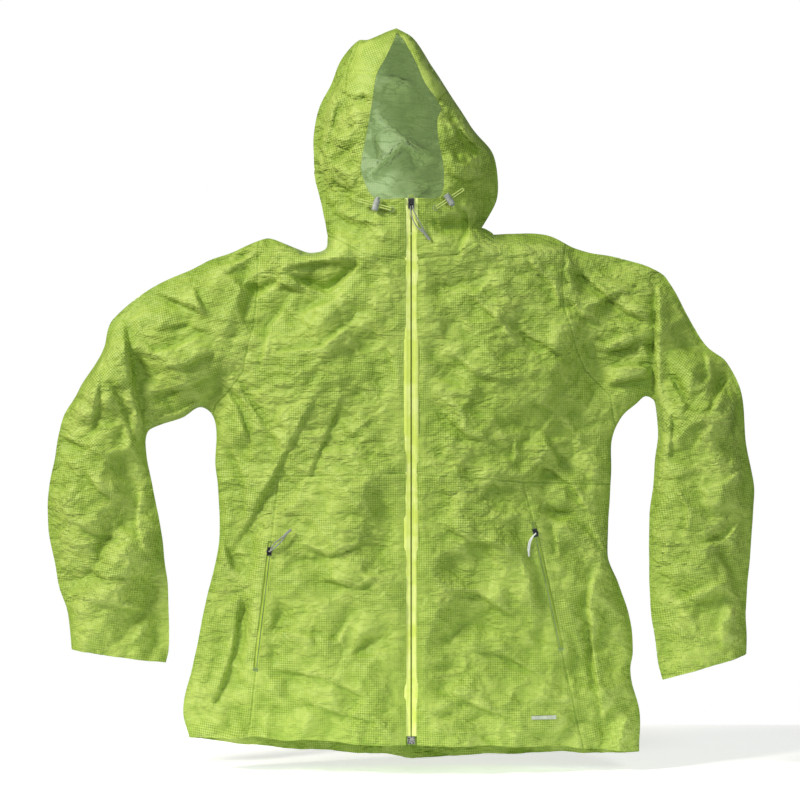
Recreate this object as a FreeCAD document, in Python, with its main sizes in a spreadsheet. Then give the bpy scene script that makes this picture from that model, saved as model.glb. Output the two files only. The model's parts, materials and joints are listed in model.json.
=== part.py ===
import FreeCAD, Part
import math
import os
import Sketcher

# A hooded hardshell jacket lying flat, face up: +Z runs from the hem to the hood, the front faces -Y
# and the wearer's left is +X. x = 0 is the front zip, y = 0 the side creases, z = 0 the lowest point
# of the back hem. The cloth tubes (torso, sleeves, hood) are lofts through lens-shaped sections, a
# shell is an outer loft less an inner one, and a panel is the part of a shell inside its seam lines.

V = FreeCAD.Vector
ACROSS = V(1, 0, 0)
FRONT = V(0, -1, 0)
BACK = V(0, 1, 0)

doc = FreeCAD.newDocument("HardshellJacket")
sheet = doc.addObject("Spreadsheet::Sheet", "Sizes")

SIZES = {
    # cloth
    "fabric": 1.4,             # thickness of a cloth solid: the laminate, its seam tape and the loft
    "seam_gap": 0.4,           # clearance between two neighbouring panels
    "lining_gap": 0.5,         # clearance between the cloth and a second layer inside it
    "lining": 1.0,             # thickness of a second layer: facings, hem channel, pocket bag
    "reach": 130,              # how far a seam outline is swept through the cloth
    "hood_parting": 9,         # depth at which the hood's front is cut from its back
    # front zip
    "tape_recess": 3.1,        # tape face behind the cloth face
    "tape_thick": 0.6,
    "tape_half": 12,           # width of one tape
    "tape_gap": 1.6,           # gap between the two tapes, for the slider's post
    "coil_radius": 1.1,
    "coil_clear": 0.1,
    "zip_bottom": 42,
    "zip_top": 758,
    "slider_rest": 750,        # height of the closed slider's middle
    "slider_width": 8,
    "slider_length": 14,
    "plate_thick": 1.4,
    "front_plate": 1.2,        # depth of the slider's front plate behind the cloth face
    "back_plate": 6.4,
    "post_width": 1.0,
    "cheek_width": 1.0,
    "cheek_height": 4,
    "bridge_half": 2.6,        # half the clear width between the bridge's cheeks
    "pin_radius": 0.6,
    "pin_proud": 1.1,          # height of the bridge pin above the cloth face
    "eye_clear": 0.3,
    "tab_width": 3.6,
    "tab_thick": 1.4,
    "tab_length": 9,
    "cord_pull_width": 4.2,
    "cord_pull_thick": 1.4,
    "box_width": 10,
    "box_height": 10,
    "stop_height": 3,
    # pockets
    "pocket_length": 176,
    "slot_width": 12,
    "pocket_ratio": 0.8,       # size of the pocket zips beside the front zip
    "main_pull_length": 37,
    "pocket_pull_length": 32,
    "bag_inset": 6.5,          # depth of the pocket bag behind the cloth face
    # cord locks
    "cord_radius": 0.9,
    "strand_half": 1.6,        # half the distance between the two strands of a cord
    "cord_length": 44,
    "lock_radius": 4.3,
    "lock_length": 15,
    "lock_place": 21,          # distance of a cord lock from its eyelet
    "lock_height": 5.4,        # height of a cord's middle above the cloth face
    "window_half": 3.2,        # half the height of the window through a lock
    "window_depth": 2.6,
    "button_radius": 2.7,
    "button_bore": 3.0,
    "button_length": 4.4,
    "spring_room": 3.6,        # room for the spring behind a button
    "button_proud": 3.2,
    "eyelet_radius": 3.4,
    "eyelet_bore": 2.9,
    "eyelet_thick": 0.9,
    # trims
    "chin_half": 16,
    "chin_bottom": 712,
    "chin_top": 762,
    "chin_depth": 51.4,
    "loop_half": 22,
    "loop_bulge": 9,
    "loop_strap": 1.2,
    "loop_height": 7,
    "loop_depth": 54.3,
    "loop_place": 731,
    "mark_width": 34,
    "mark_height": 5,
    "mark_thick": 0.4,
}

# Cross sections of the cloth tubes: the two crease points (x, z), the half depth, the place of the
# creases in y, and whether the section lies on a shelf, where the inner loft has to drop as well.
STATION_CELLS = ("ax", "az", "bx", "bz", "depth", "middle")
TORSO = {
    "torso_hem": (-306, -8, 308, -8, 60, 0, 0),
    "torso_hip": (-287, 150, 304, 150, 60, 0, 0),
    "torso_pocket": (-274, 335, 270, 335, 60, 0, 0),
    "torso_pit": (-270, 485, 270, 485, 60, 0, 0),
    "torso_chest": (-300, 560, 300, 560, 60, 0, 0),
    "torso_yoke": (-290, 640, 290, 640, 60, 0, 0),
    "torso_shoulder": (-232, 692, 235, 692, 60, 0, 1),
    "torso_shelf": (-150, 704, 146, 704, 60, 0, 1),
    "torso_neck": (-112, 714, 104, 714, 60, 0, 1),
    "torso_collar": (-112, 752, 104, 752, 60, 0, 0),
}
HOOD = {
    "hood_base": (-112, 752.4, 104, 752.4, 60, 0, 0),
    "hood_jaw": (-130, 813, 116, 813, 78, 10, 0),
    "hood_ear": (-125, 860, 103, 860, 78, 12, 0),
    "hood_temple": (-116, 900, 80, 900, 72, 12, 0),
    "hood_brow": (-89, 940, 55, 940, 58, 12, 0),
    "hood_crown": (-80, 968, 26, 968, 40, 12, 0),
    "hood_ridge": (-55, 985, -2, 985, 20, 12, 1),
    "hood_top": (-34, 992, -8, 992, 9, 12, 1),
}
# The sleeves run from the armhole to the cuff. The first crease point is the one on the left of
# someone who looks along the sleeve from the front.
RIGHT_SLEEVE = {
    "right_armhole": (-266, 487, -209, 704, 25, 0, 0),
    "right_bicep": (-318, 466, -300, 657, 29, 0, 0),
    "right_upper": (-340, 455, -368, 619, 30, 0, 0),
    "right_elbow": (-357, 440, -432, 548, 30, 0, 0),
    "right_forearm": (-352, 400, -470, 440, 29, 0, 0),
    "right_mid": (-346, 320, -492, 347, 27, 0, 0),
    "right_stitch": (-332.2, 171, -461.2, 184.2, 22.95, 0, 0),
    "right_cuff": (-329, 136, -454, 146, 22, 0, 0),
}
LEFT_SLEEVE = {
    "left_armhole": (210, 695, 273, 465, 25, 0, 0),
    "left_bicep": (272, 676, 304, 470, 29, 0, 0),
    "left_upper": (322, 667, 322, 484, 30, 0, 0),
    "left_elbow": (396, 560, 322, 466, 30, 0, 0),
    "left_forearm": (445, 470, 323, 420, 29, 0, 0),
    "left_mid": (453, 330, 326, 300, 27, 0, 0),
    "left_stitch": (451.4, 178, 337.2, 148.8, 23, 0, 0),
    "left_cuff": (451, 140, 340, 111, 22, 0, 0),
}
STATIONS = {**TORSO, **HOOD, **RIGHT_SLEEVE, **LEFT_SLEEVE}

# Corners of the seam outlines, as seen from the front: x, z. A corner called "out" lies beyond the
# cloth, where the crease itself is the panel's edge.
CORNERS = {
    "zip_hem_left": (9, 30),
    "zip_waist_left": (9, 386),
    "zip_neck_left": (9, 676),
    "zip_top_left": (9, 770),
    "zip_hem_right": (-9, 30),
    "zip_waist_right": (-9, 386),
    "zip_neck_right": (-9, 676),
    "zip_top_right": (-9, 770),
    "hem_pocket_left": (230, 22),
    "hem_out_left": (340, 14),
    "hem_pocket_right": (-219, 37),
    "hem_out_right": (-340, 37),
    "pocket_waist_left": (149, 386),
    "pocket_waist_right": (-178, 386),
    "pocket_top_left": (163, 325),
    "pocket_top_right": (-188, 300),
    "waist_out_left": (340, 386),
    "waist_out_right": (-340, 386),
    "pit_out_left": (340, 462),
    "pit_out_right": (-340, 482),
    "pit_left": (272, 465),
    "pit_right": (-263, 485),
    "yoke_left": (246, 560),
    "yoke_right": (-243, 560),
    "shoulder_left": (208, 702),
    "shoulder_right": (-206, 712),
    "shoulder_out_left": (206, 730),
    "shoulder_out_right": (-202, 730),
    "neck_out_left": (120, 730),
    "neck_out_right": (-128, 730),
    "neck_side_left": (106, 712),
    "neck_side_right": (-114, 712),
    "neck_front_left": (60, 683),
    "neck_front_right": (-62, 683),
    "neck_back": (-4, 692),
    "collar_top_left": (140, 770),
    "collar_top_right": (-140, 770),
    "back_hem": (0, 0),
    "back_hem_left": (170, 6),
    "back_hem_right": (-150, 12),
    "channel_hem": (0, 26),
    "channel_left": (170, 32),
    "channel_right": (-150, 38),
    "channel_out_left": (260, 38),
    "channel_out_right": (-230, 52),
    "channel_low_left": (260, 12),
    "channel_low_right": (-230, 26),
    "bag_top_left": (140, 350),
    "bag_zip_top_left": (150, 325),
    "bag_zip_low_left": (186, 158),
    "bag_low_left": (176, 110),
    "bag_inner_low_left": (52, 118),
    "bag_inner_top_left": (52, 330),
    "bag_top_right": (-166, 330),
    "bag_zip_top_right": (-174, 300),
    "bag_zip_low_right": (-194, 132),
    "bag_low_right": (-186, 96),
    "bag_inner_low_right": (-60, 104),
    "bag_inner_top_right": (-60, 310),
    "face_peak": (-16, 981),
    "face_brow_right": (-34, 934),
    "face_cheek_right": (-45, 880),
    "face_jaw_right": (-62, 813),
    "face_corner_right": (-66, 786),
    "face_chin_right": (-50, 756),
    "face_lip_right": (-13, 757),
    "face_low_right": (-9, 741),
    "face_low_left": (9, 741),
    "face_lip_left": (13, 757),
    "face_chin_left": (49, 757),
    "face_jaw_left": (47, 806),
    "face_cheek_left": (35, 883),
    "face_brow_left": (12, 921),
    "brim_low_right": (-88, 896),
    "brim_side_right": (-86, 933),
    "brim_top_right": (-70, 976),
    "brim_out_right": (-45, 1010),
    "brim_out_left": (10, 1010),
    "brim_side_left": (26, 930),
    "brim_low_left": (50, 906),
    "brim_end_left": (38, 890),
    "brim_end_right": (-46, 890),
    "band_low_right": (-150, 740),
    "band_top_right": (-150, 800),
    "band_top_left": (150, 800),
    "band_low_left": (150, 740),
    "hood_low_right": (-150, 800),
    "hood_out_right": (-150, 1010),
    "hood_low_middle": (-8, 800),
    "hood_out_middle": (-22, 1010),
    "hood_low_left": (150, 800),
    "hood_out_left": (150, 1010),
    "strip_low_right": (-60, 800),
    "strip_top_right": (-44, 1010),
    "strip_top_left": (6, 1010),
    "strip_low_left": (48, 800),
}

row = 0


def store(alias, value):
    """Put one driving dimension in the sheet."""
    global row
    row += 1
    sheet.set(f"A{row}", alias)
    sheet.set(f"B{row}", str(value))
    sheet.setAlias(f"B{row}", alias)


for alias, value in SIZES.items():
    store(alias, value)
for station, numbers in STATIONS.items():
    for cell_name, value in zip(STATION_CELLS, numbers):
        store(f"{station}_{cell_name}", value)
for corner, (x, z) in CORNERS.items():
    store(f"{corner}_x", x)
    store(f"{corner}_z", z)
doc.recompute()


def size(alias):
    """The present value of a cell."""
    return float(sheet.get(alias))


def bind(item, **expressions):
    """Bind properties of an object to expressions; the object is returned."""
    for name, expression in expressions.items():
        item.setExpression(name.replace("__", "."), expression)
    return item


def radius_of_chord(half, bulge):
    """Radius of an arc over a chord of the given half length that stands out by the bulge."""
    return (half ** 2 + bulge ** 2) / (2 * bulge)


nodes = []


def keep(item, label):
    """Name a finished piece: its label is the name of its node and its file."""
    item.Label = label
    nodes.append(item)
    return item


# ---------------------------------------------------------------------------- cloth: sections

def lens(name, station, inset="0", slide="0"):
    """A cloth tube in section: two arcs that meet in a crease at each side."""
    cells = [f"Sizes.{station}_{cell_name}" for cell_name in STATION_CELLS]
    ax, az, bx, bz, depth, middle = cells
    chord = f"hypot({bx} - {ax}; {bz} - {az})"
    half = f"({chord} / 2 - {inset})"
    bulge = f"({depth} - {inset})"
    sketch = doc.addObject("Sketcher::SketchObject", name)
    sketch.Placement = FreeCAD.Placement(V(0, 0, 0), FreeCAD.Rotation(V(0, 1, 0), 10))
    bind(sketch,
         Placement__Base__x=f"({ax} + {bx}) / 2 - {slide} * ({bz} - {az}) / {chord}",
         Placement__Base__y=middle,
         Placement__Base__z=f"({az} + {bz}) / 2 + {slide} * ({bx} - {ax}) / {chord}",
         Placement__Rotation__Angle=f"-atan2({bz} - {az}; {bx} - {ax})")
    half_now = float(sheet.evalExpression(half))
    bulge_now = float(sheet.evalExpression(bulge))
    radius = radius_of_chord(half_now, bulge_now)
    spread = math.asin(half_now / radius)
    right_angle = math.pi / 2
    low = Part.Circle(V(0, radius - bulge_now, 0), V(0, 0, 1), radius)
    high = Part.Circle(V(0, bulge_now - radius, 0), V(0, 0, 1), radius)
    sketch.addGeometry(Part.ArcOfCircle(low, -right_angle - spread, -right_angle + spread))
    sketch.addGeometry(Part.ArcOfCircle(high, right_angle - spread, right_angle + spread))
    sketch.addConstraint(Sketcher.Constraint("Coincident", 0, 2, 1, 1))
    sketch.addConstraint(Sketcher.Constraint("Coincident", 0, 1, 1, 2))
    width = sketch.addConstraint(Sketcher.Constraint("DistanceX", -1, 1, 0, 2, half_now))
    sketch.addConstraint(Sketcher.Constraint("PointOnObject", 0, 2, -1))
    sketch.addConstraint(Sketcher.Constraint("Symmetric", 0, 1, 0, 2, -1, 1))
    bend = sketch.addConstraint(Sketcher.Constraint("Radius", 0, radius))
    sketch.addConstraint(Sketcher.Constraint("Equal", 0, 1))
    sketch.setExpression(f"Constraints[{width}]", half)
    sketch.setExpression(f"Constraints[{bend}]", f"(({half})^2 + ({bulge})^2) / (2 * {bulge})")
    return sketch


def tube(name, stations, inset="0", slides=None):
    """A solid loft through the lens sections of the given stations."""
    sections = []
    for number, station in enumerate(stations):
        slide = "0"
        if STATIONS[station][-1]:
            slide = f"(0 - {inset})"
        if slides:
            slide = slides[number]
        sections.append(lens(f"{name}_{number}", station, inset, slide))
    loft = doc.addObject("Part::Loft", name)
    loft.Sections = sections
    loft.Solid = True
    loft.Ruled = True
    return loft


def boolean(kind, name, base, tool):
    """Part::Cut or Part::Common of two objects."""
    result = doc.addObject(f"Part::{kind}", name)
    result.Base = base
    result.Tool = tool
    return result


def fuse(name, items):
    """One solid from several."""
    result = doc.addObject("Part::MultiFuse", name)
    result.Shapes = items
    return result


def grouped(name, items, frame):
    """One or more separate solids in one node, put in their place."""
    result = doc.addObject("Part::Compound", name)
    result.Links = items
    result.Placement = frame
    return result


def placed(name, items, frame):
    """One solid from several, put in its place."""
    return grouped(name, [fuse(f"{name}_fused", items)], frame)


def layer(name, stations, outside="0", inside="Sizes.fabric"):
    """A cloth tube between two insets."""
    outer = tube(f"{name}_outer", stations, outside)
    inner = tube(f"{name}_inner", stations, inside)
    return boolean("Cut", name, outer, inner)


# ---------------------------------------------------------------------------- cloth: seam outlines

def outline(name, corners):
    """A closed sketch in the XZ plane through named corners of the sheet."""
    sketch = doc.addObject("Sketcher::SketchObject", name)
    sketch.Placement = FreeCAD.Placement(V(0, 0, 0), FreeCAD.Rotation(ACROSS, 90))
    points = [V(size(f"{corner}_x"), size(f"{corner}_z"), 0) for corner in corners]
    count = len(points)
    for number in range(count):
        sketch.addGeometry(Part.LineSegment(points[number], points[(number + 1) % count]))
    for number in range(count):
        sketch.addConstraint(Sketcher.Constraint("Coincident", number, 2, (number + 1) % count, 1))
    for number, corner in enumerate(corners):
        for kind, axis, value in (("DistanceX", "x", points[number].x), ("DistanceY", "z", points[number].y)):
            place = sketch.addConstraint(Sketcher.Constraint(kind, -1, 1, number, 1, value))
            sketch.setExpression(f"Constraints[{place}]", f"Sizes.{corner}_{axis}")
    return sketch


def zone(name, corners, direction, start="Sizes.seam_gap / 2", shrink="(0 - Sizes.seam_gap / 2)"):
    """The space behind an outline, swept to the front or to the back."""
    edge = doc.addObject("Part::Offset2D", f"{name}_edge")
    edge.Source = outline(f"{name}_outline", corners)
    edge.Value = -1
    bind(edge, Value=shrink)
    prism = doc.addObject("Part::Extrusion", name)
    prism.Base = edge
    prism.DirMode = "Custom"
    prism.Dir = direction
    prism.Solid = True
    bind(prism, LengthFwd="Sizes.reach", LengthRev=f"0 - ({start})")
    return prism


def through(name, corners):
    """The space behind an outline, swept to both sides."""
    return zone(name, corners, BACK, start="0 - Sizes.reach")


# ---------------------------------------------------------------------------- torso and collar

torso = layer("torso_shell", list(TORSO))
torso_face = tube("torso_face", list(TORSO))

FRONT_PANELS = {
    "front_upper": ("zip_waist", "pocket_waist", "waist_out", "pit_out", "pit", "shoulder",
                    "shoulder_out", "neck_out", "neck_side", "neck_front", "zip_neck"),
    "front_lower": ("zip_hem", "hem_pocket", "pocket_waist", "zip_waist"),
    "side_panel": ("hem_pocket", "hem_out", "waist_out", "pocket_waist"),
    "collar_front": ("zip_neck", "neck_front", "neck_side", "neck_out", "collar_top", "zip_top"),
}
SIDES = ("left", "right")


def face_depth(x, z):
    """y of the torso's front face above the point (x, z)."""
    names = list(TORSO)
    for low, high in zip(names, names[1:]):
        if size(f"{low}_az") <= z <= size(f"{high}_az"):
            share = (z - size(f"{low}_az")) / (size(f"{high}_az") - size(f"{low}_az"))
            edges = []
            for cell_name in ("ax", "bx", "depth"):
                start = size(f"{low}_{cell_name}")
                edges.append(start + share * (size(f"{high}_{cell_name}") - start))
            half = (edges[1] - edges[0]) / 2
            off = x - (edges[1] + edges[0]) / 2
            radius = radius_of_chord(half, edges[2])
            return radius - edges[2] - math.sqrt(radius ** 2 - off ** 2)
    raise ValueError("outside the torso")


def face_frame(x, z, along_x, along_z):
    """Placement on the torso's face: local Z along the given direction, local Y into the cloth."""
    step = 1.0
    here = V(x, face_depth(x, z), z)
    slope_x = (face_depth(x + step, z) - face_depth(x - step, z)) / (2 * step)
    slope_z = (face_depth(x, z + step) - face_depth(x, z - step)) / (2 * step)
    along = V(along_x, along_x * slope_x + along_z * slope_z, along_z).normalize()
    inward = V(-slope_x, 1, -slope_z).normalize()
    side = inward.cross(along)
    return FreeCAD.Placement(here, FreeCAD.Rotation(side, inward, along, "ZYX"))


def pocket_frame(side):
    """The frame of a pocket zip: origin at its top end, local Z up along the zip."""
    top_x, top_z = size(f"pocket_top_{side}_x"), size(f"pocket_top_{side}_z")
    low_x, low_z = size(f"hem_pocket_{side}_x"), size(f"hem_pocket_{side}_z")
    share = size("pocket_length") / math.hypot(top_x - low_x, top_z - low_z)
    end_x = top_x + share * (low_x - top_x)
    end_z = top_z + share * (low_z - top_z)
    frame = face_frame((top_x + end_x) / 2, (top_z + end_z) / 2, top_x - low_x, top_z - low_z)
    frame.Base = V(top_x, face_depth(top_x, top_z), top_z)
    return frame


def block(name, width, thick, height, left, depth, bottom):
    """A box: its size across, in depth and in height, and its low corner, all as expressions."""
    box = doc.addObject("Part::Box", name)
    return bind(box, Length=width, Width=thick, Height=height, Placement__Base__x=left,
                Placement__Base__y=depth, Placement__Base__z=bottom)


def rod(name, radius, length, x, y, z, axis=V(0, 0, 1), angle=0):
    """A cylinder from (x, y, z) along the turned axis."""
    cylinder = doc.addObject("Part::Cylinder", name)
    cylinder.Placement = FreeCAD.Placement(V(0, 0, 0), FreeCAD.Rotation(axis, angle))
    return bind(cylinder, Radius=radius, Height=length, Placement__Base__x=x,
                Placement__Base__y=y, Placement__Base__z=z)


for side in SIDES:
    slot = block(f"pocket_slot_{side}", "Sizes.slot_width", "40", "Sizes.pocket_length",
                 "0 - Sizes.slot_width / 2", "-20", "0 - Sizes.pocket_length")
    slot_body = grouped(f"pocket_slot_place_{side}", [slot], pocket_frame(side))
    for label, corners in FRONT_PANELS.items():
        name = f"{label}_{side}"
        area = zone(f"{name}_zone", [f"{corner}_{side}" for corner in corners], FRONT)
        panel = boolean("Common", f"{name}_panel", torso, area)
        if label in ("front_lower", "side_panel"):
            panel = boolean("Cut", f"{name}_slotted", panel, slot_body)
        keep(panel, name)

BACK_YOKE = ("yoke_right", "yoke_left", "shoulder_left", "shoulder_out_left", "neck_out_left",
             "neck_side_left", "neck_back", "neck_side_right", "neck_out_right",
             "shoulder_out_right", "shoulder_right")
BACK_PANEL = ("hem_out_right", "back_hem_right", "back_hem", "back_hem_left", "hem_out_left",
              "pit_out_left", "pit_left", "yoke_left", "yoke_right", "pit_right", "pit_out_right")
BACK_COLLAR = ("neck_side_right", "neck_back", "neck_side_left", "neck_out_left",
               "collar_top_left", "collar_top_right", "neck_out_right")
for label, corners in (("back_yoke", BACK_YOKE), ("back_panel", BACK_PANEL), ("collar_back", BACK_COLLAR)):
    keep(boolean("Common", f"{label}_panel", torso, zone(f"{label}_zone", corners, BACK)), label)

# The hem channel is a second layer inside the back hem; the drawcord runs in it.
second_out = "(Sizes.fabric + Sizes.lining_gap)"
second_in = "(Sizes.fabric + Sizes.lining_gap + Sizes.lining)"
torso_lining = layer("torso_lining", list(TORSO)[:3], second_out, second_in)
CHANNEL = ("channel_low_right", "back_hem_right", "back_hem", "back_hem_left", "channel_low_left",
           "channel_out_left", "channel_left", "channel_hem", "channel_right", "channel_out_right")
channel_zone = zone("hem_channel_zone", CHANNEL, BACK, start="2")
keep(boolean("Common", "hem_channel_cloth", torso_lining, channel_zone), "hem_channel")

# The pocket bags hang behind the front panels, clear of the zips.
bag_cloth = layer("bag_cloth", list(TORSO)[:4], "Sizes.bag_inset", "(Sizes.bag_inset + Sizes.lining)")
BAG = ("bag_top", "bag_zip_top", "bag_zip_low", "bag_low", "bag_inner_low", "bag_inner_top")
for side in SIDES:
    area = zone(f"pocket_bag_{side}_zone", [f"{corner}_{side}" for corner in BAG], FRONT)
    keep(boolean("Common", f"pocket_bag_{side}_cloth", bag_cloth, area), f"pocket_bag_{side}")

# ---------------------------------------------------------------------------- hood

hood = layer("hood_shell", list(HOOD))
FACE = ("face_peak", "face_brow_right", "face_cheek_right", "face_jaw_right", "face_corner_right",
        "face_chin_right", "face_lip_right", "face_low_right", "face_low_left", "face_lip_left",
        "face_chin_left", "face_jaw_left", "face_cheek_left", "face_brow_left")
BRIM = ("brim_low_right", "brim_side_right", "brim_top_right", "brim_out_right", "brim_out_left",
        "brim_side_left", "brim_low_left", "brim_end_left", "brim_end_right")
BAND = ("band_low_right", "band_top_right", "band_top_left", "band_low_left")
HOOD_RIGHT = ("hood_low_right", "hood_out_right", "hood_out_middle", "hood_low_middle")
HOOD_LEFT = ("hood_low_middle", "hood_out_middle", "hood_out_left", "hood_low_left")
STRIP = ("strip_low_right", "strip_top_right", "strip_top_left", "strip_low_left")

# The front zones of the hood start behind y = 0, because its creases lie a little further back.
parting = "(0 - Sizes.hood_parting)"
face_hole = zone("face_hole", FACE, FRONT, start=parting, shrink="0.01")
open_hood = boolean("Cut", "open_hood", hood, face_hole)
brim_zone = zone("brim_zone", BRIM, FRONT, start=parting)
brim_space = zone("brim_space", BRIM, FRONT, start=parting, shrink="Sizes.seam_gap / 2")
strip_start = "(Sizes.hood_parting + Sizes.seam_gap)"
strip_zone = zone("strip_zone", STRIP, BACK, start=strip_start)
strip_space = zone("strip_space", STRIP, BACK, start="Sizes.hood_parting", shrink="Sizes.seam_gap / 2")
keep(boolean("Common", "hood_brim_cloth", open_hood, brim_zone), "hood_brim")
keep(boolean("Common", "hood_centre_cloth", open_hood, strip_zone), "hood_centre")
keep(boolean("Common", "hood_band_cloth", open_hood, through("band_zone", BAND)), "hood_neck_band")
unbrimmed = boolean("Cut", "unbrimmed_hood", open_hood, brim_space)
hood_sides = boolean("Cut", "hood_sides", unbrimmed, strip_space)
for side, corners in (("left", HOOD_LEFT), ("right", HOOD_RIGHT)):
    half_zone = through(f"hood_{side}_zone", corners)
    keep(boolean("Common", f"hood_{side}_cloth", hood_sides, half_zone), f"hood_side_{side}")

# ---------------------------------------------------------------------------- sleeves

SLEEVE_PIECES = (("armhole_gusset", 0, 1), ("upper_sleeve", 1, 2), ("elbow_panel", 2, 4), ("lower_sleeve", 4, 7))


def sleeve_piece(name, stations):
    """A length of sleeve, open at both ends and half a seam gap short of its neighbours."""
    last = len(stations) - 1
    half_gap = "Sizes.seam_gap / 2"
    slides = ["0"] * (last + 1)
    slides[0] = f"({half_gap})"
    slides[last] = f"(0 - {half_gap})"
    outer = tube(f"{name}_outer", stations, "0", slides)
    inner = tube(f"{name}_inner", stations, "Sizes.fabric", slides)
    return boolean("Cut", f"{name}_cloth", outer, inner)


for side, sleeve in (("right", RIGHT_SLEEVE), ("left", LEFT_SLEEVE)):
    names = list(sleeve)
    for label, first, last in SLEEVE_PIECES:
        keep(sleeve_piece(f"{label}_{side}", names[first:last + 1]), f"{label}_{side}")
    cuff = names[-2:]
    hem_slides = ["0", "(0 - Sizes.fabric)"]
    facing_outer = tube(f"cuff_{side}_outer", cuff, second_out, hem_slides)
    facing_inner = tube(f"cuff_{side}_inner", cuff, second_in, hem_slides)
    keep(boolean("Cut", f"cuff_{side}_ring", facing_outer, facing_inner), f"cuff_facing_{side}")

# ---------------------------------------------------------------------------- zips
# Each zip is built in a frame of its own: local X across, Y into the cloth from its face, Z up.


def tape(name, sign, ratio, bottom, top):
    """One half of the zip's tape, on the side given by the sign."""
    width = f"(Sizes.tape_half * {ratio} - Sizes.tape_gap / 2)"
    left = "Sizes.tape_gap / 2"
    if sign < 0:
        left = f"0 - Sizes.tape_gap / 2 - {width}"
    return block(name, width, "Sizes.tape_thick", f"{top} - ({bottom})", left, "Sizes.tape_recess", bottom)


def coil(name, sign, bottom, top):
    """One row of the zip's coil, sewn behind the edge of its tape."""
    side_x = f"{sign} * (Sizes.tape_gap / 2 + Sizes.coil_radius)"
    depth = "Sizes.tape_recess + Sizes.tape_thick + Sizes.coil_clear + Sizes.coil_radius"
    return rod(name, "Sizes.coil_radius", f"{top} - ({bottom})", side_x, depth, bottom)


def slider_parts(name, ratio):
    """A slider around the local origin: two plates, the post between them and the pull's bridge."""
    width = f"Sizes.slider_width * {ratio}"
    length = f"Sizes.slider_length * {ratio}"
    left = f"0 - {width} / 2"
    bottom = f"0 - {length} / 2"
    post_depth = "Sizes.front_plate + Sizes.plate_thick / 2"
    post_reach = "Sizes.back_plate - Sizes.front_plate"
    cheek_reach = "Sizes.front_plate + Sizes.pin_proud + 2 * Sizes.pin_radius"
    cheek_top = "0 - Sizes.pin_proud - Sizes.pin_radius"
    parts = [
        block(f"{name}_front", width, "Sizes.plate_thick", length, left, "Sizes.front_plate", bottom),
        block(f"{name}_back", width, "Sizes.plate_thick", length, left, "Sizes.back_plate", bottom),
        block(f"{name}_post", "Sizes.post_width", post_reach, f"{length} / 2",
              "0 - Sizes.post_width / 2", post_depth, "0"),
        rod(f"{name}_pin", "Sizes.pin_radius", "2 * Sizes.bridge_half + Sizes.cheek_width",
            "0 - Sizes.bridge_half - Sizes.cheek_width / 2", "0 - Sizes.pin_proud", "0", V(0, 1, 0), 90),
    ]
    for sign in (-1, 1):
        cheek_left = f"{sign} * (Sizes.bridge_half + Sizes.cheek_width / 2) - Sizes.cheek_width / 2"
        parts.append(block(f"{name}_cheek_{sign + 1}", "Sizes.cheek_width", cheek_reach,
                           "Sizes.cheek_height", cheek_left, cheek_top, "0 - Sizes.cheek_height / 2"))
    return parts


def pull_parts(name, length, up, lean):
    """A pull: a tab with an eye around the bridge pin, and a cord grip that leans to one side."""
    eye_radius = "Sizes.tab_width / 2"
    tab_front = "0 - Sizes.pin_proud - Sizes.tab_thick / 2"
    tab_low = "0" if up > 0 else "0 - Sizes.tab_length"
    tab_end = f"{up} * Sizes.tab_length"
    tab = fuse(f"{name}_tab", [
        block(f"{name}_plate", "Sizes.tab_width", "Sizes.tab_thick", "Sizes.tab_length",
              f"0 - {eye_radius}", tab_front, tab_low),
        rod(f"{name}_barrel", "Sizes.pin_radius + 2 * Sizes.eye_clear + 0.5", "Sizes.tab_width",
            f"0 - {eye_radius}", "0 - Sizes.pin_proud", "0", V(0, 1, 0), 90),
    ])
    eye = rod(f"{name}_eye", "Sizes.pin_radius + Sizes.eye_clear", "Sizes.tab_width + 2",
              f"0 - {eye_radius} - 1", "0 - Sizes.pin_proud", "0", V(0, 1, 0), 90)
    grip = block(f"{name}_grip", "Sizes.cord_pull_width", "Sizes.cord_pull_thick", length,
                 "0", tab_front, tab_end)
    grip.Placement = FreeCAD.Placement(V(0, 0, 0), FreeCAD.Rotation(V(0, 1, 0), lean))
    turn = math.radians(lean)
    bind(grip, Placement__Base__x=f"0 - Sizes.cord_pull_width / 2 * {math.cos(turn):.6f}",
         Placement__Base__y=tab_front,
         Placement__Base__z=f"{tab_end} + Sizes.cord_pull_width / 2 * {math.sin(turn):.6f}")
    return [boolean("Cut", f"{name}_eyed", tab, eye), grip]


FULL = "1"
face = FreeCAD.Placement(V(0, -size("torso_pit_depth"), 0), FreeCAD.Rotation())
for sign, side in ((1, "left"), (-1, "right")):
    strip = tape(f"zip_tape_{side}_strip", sign, FULL, "Sizes.zip_bottom", "Sizes.zip_top")
    keep(grouped(f"zip_tape_{side}_body", [strip], face), f"zip_tape_{side}")
    wire = coil(f"zip_coil_{side}_wire", sign, "Sizes.zip_bottom", "Sizes.zip_top")
    keep(grouped(f"zip_coil_{side}_body", [wire], face), f"zip_coil_{side}")

rest = FreeCAD.Placement(V(0, -size("torso_pit_depth"), size("slider_rest")), FreeCAD.Rotation())
keep(placed("zip_slider_body", slider_parts("zip_slider", FULL), rest), "zip_slider")
keep(placed("zip_pull_body", pull_parts("zip_pull", "Sizes.main_pull_length", -1, 150), rest), "zip_pull")

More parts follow.
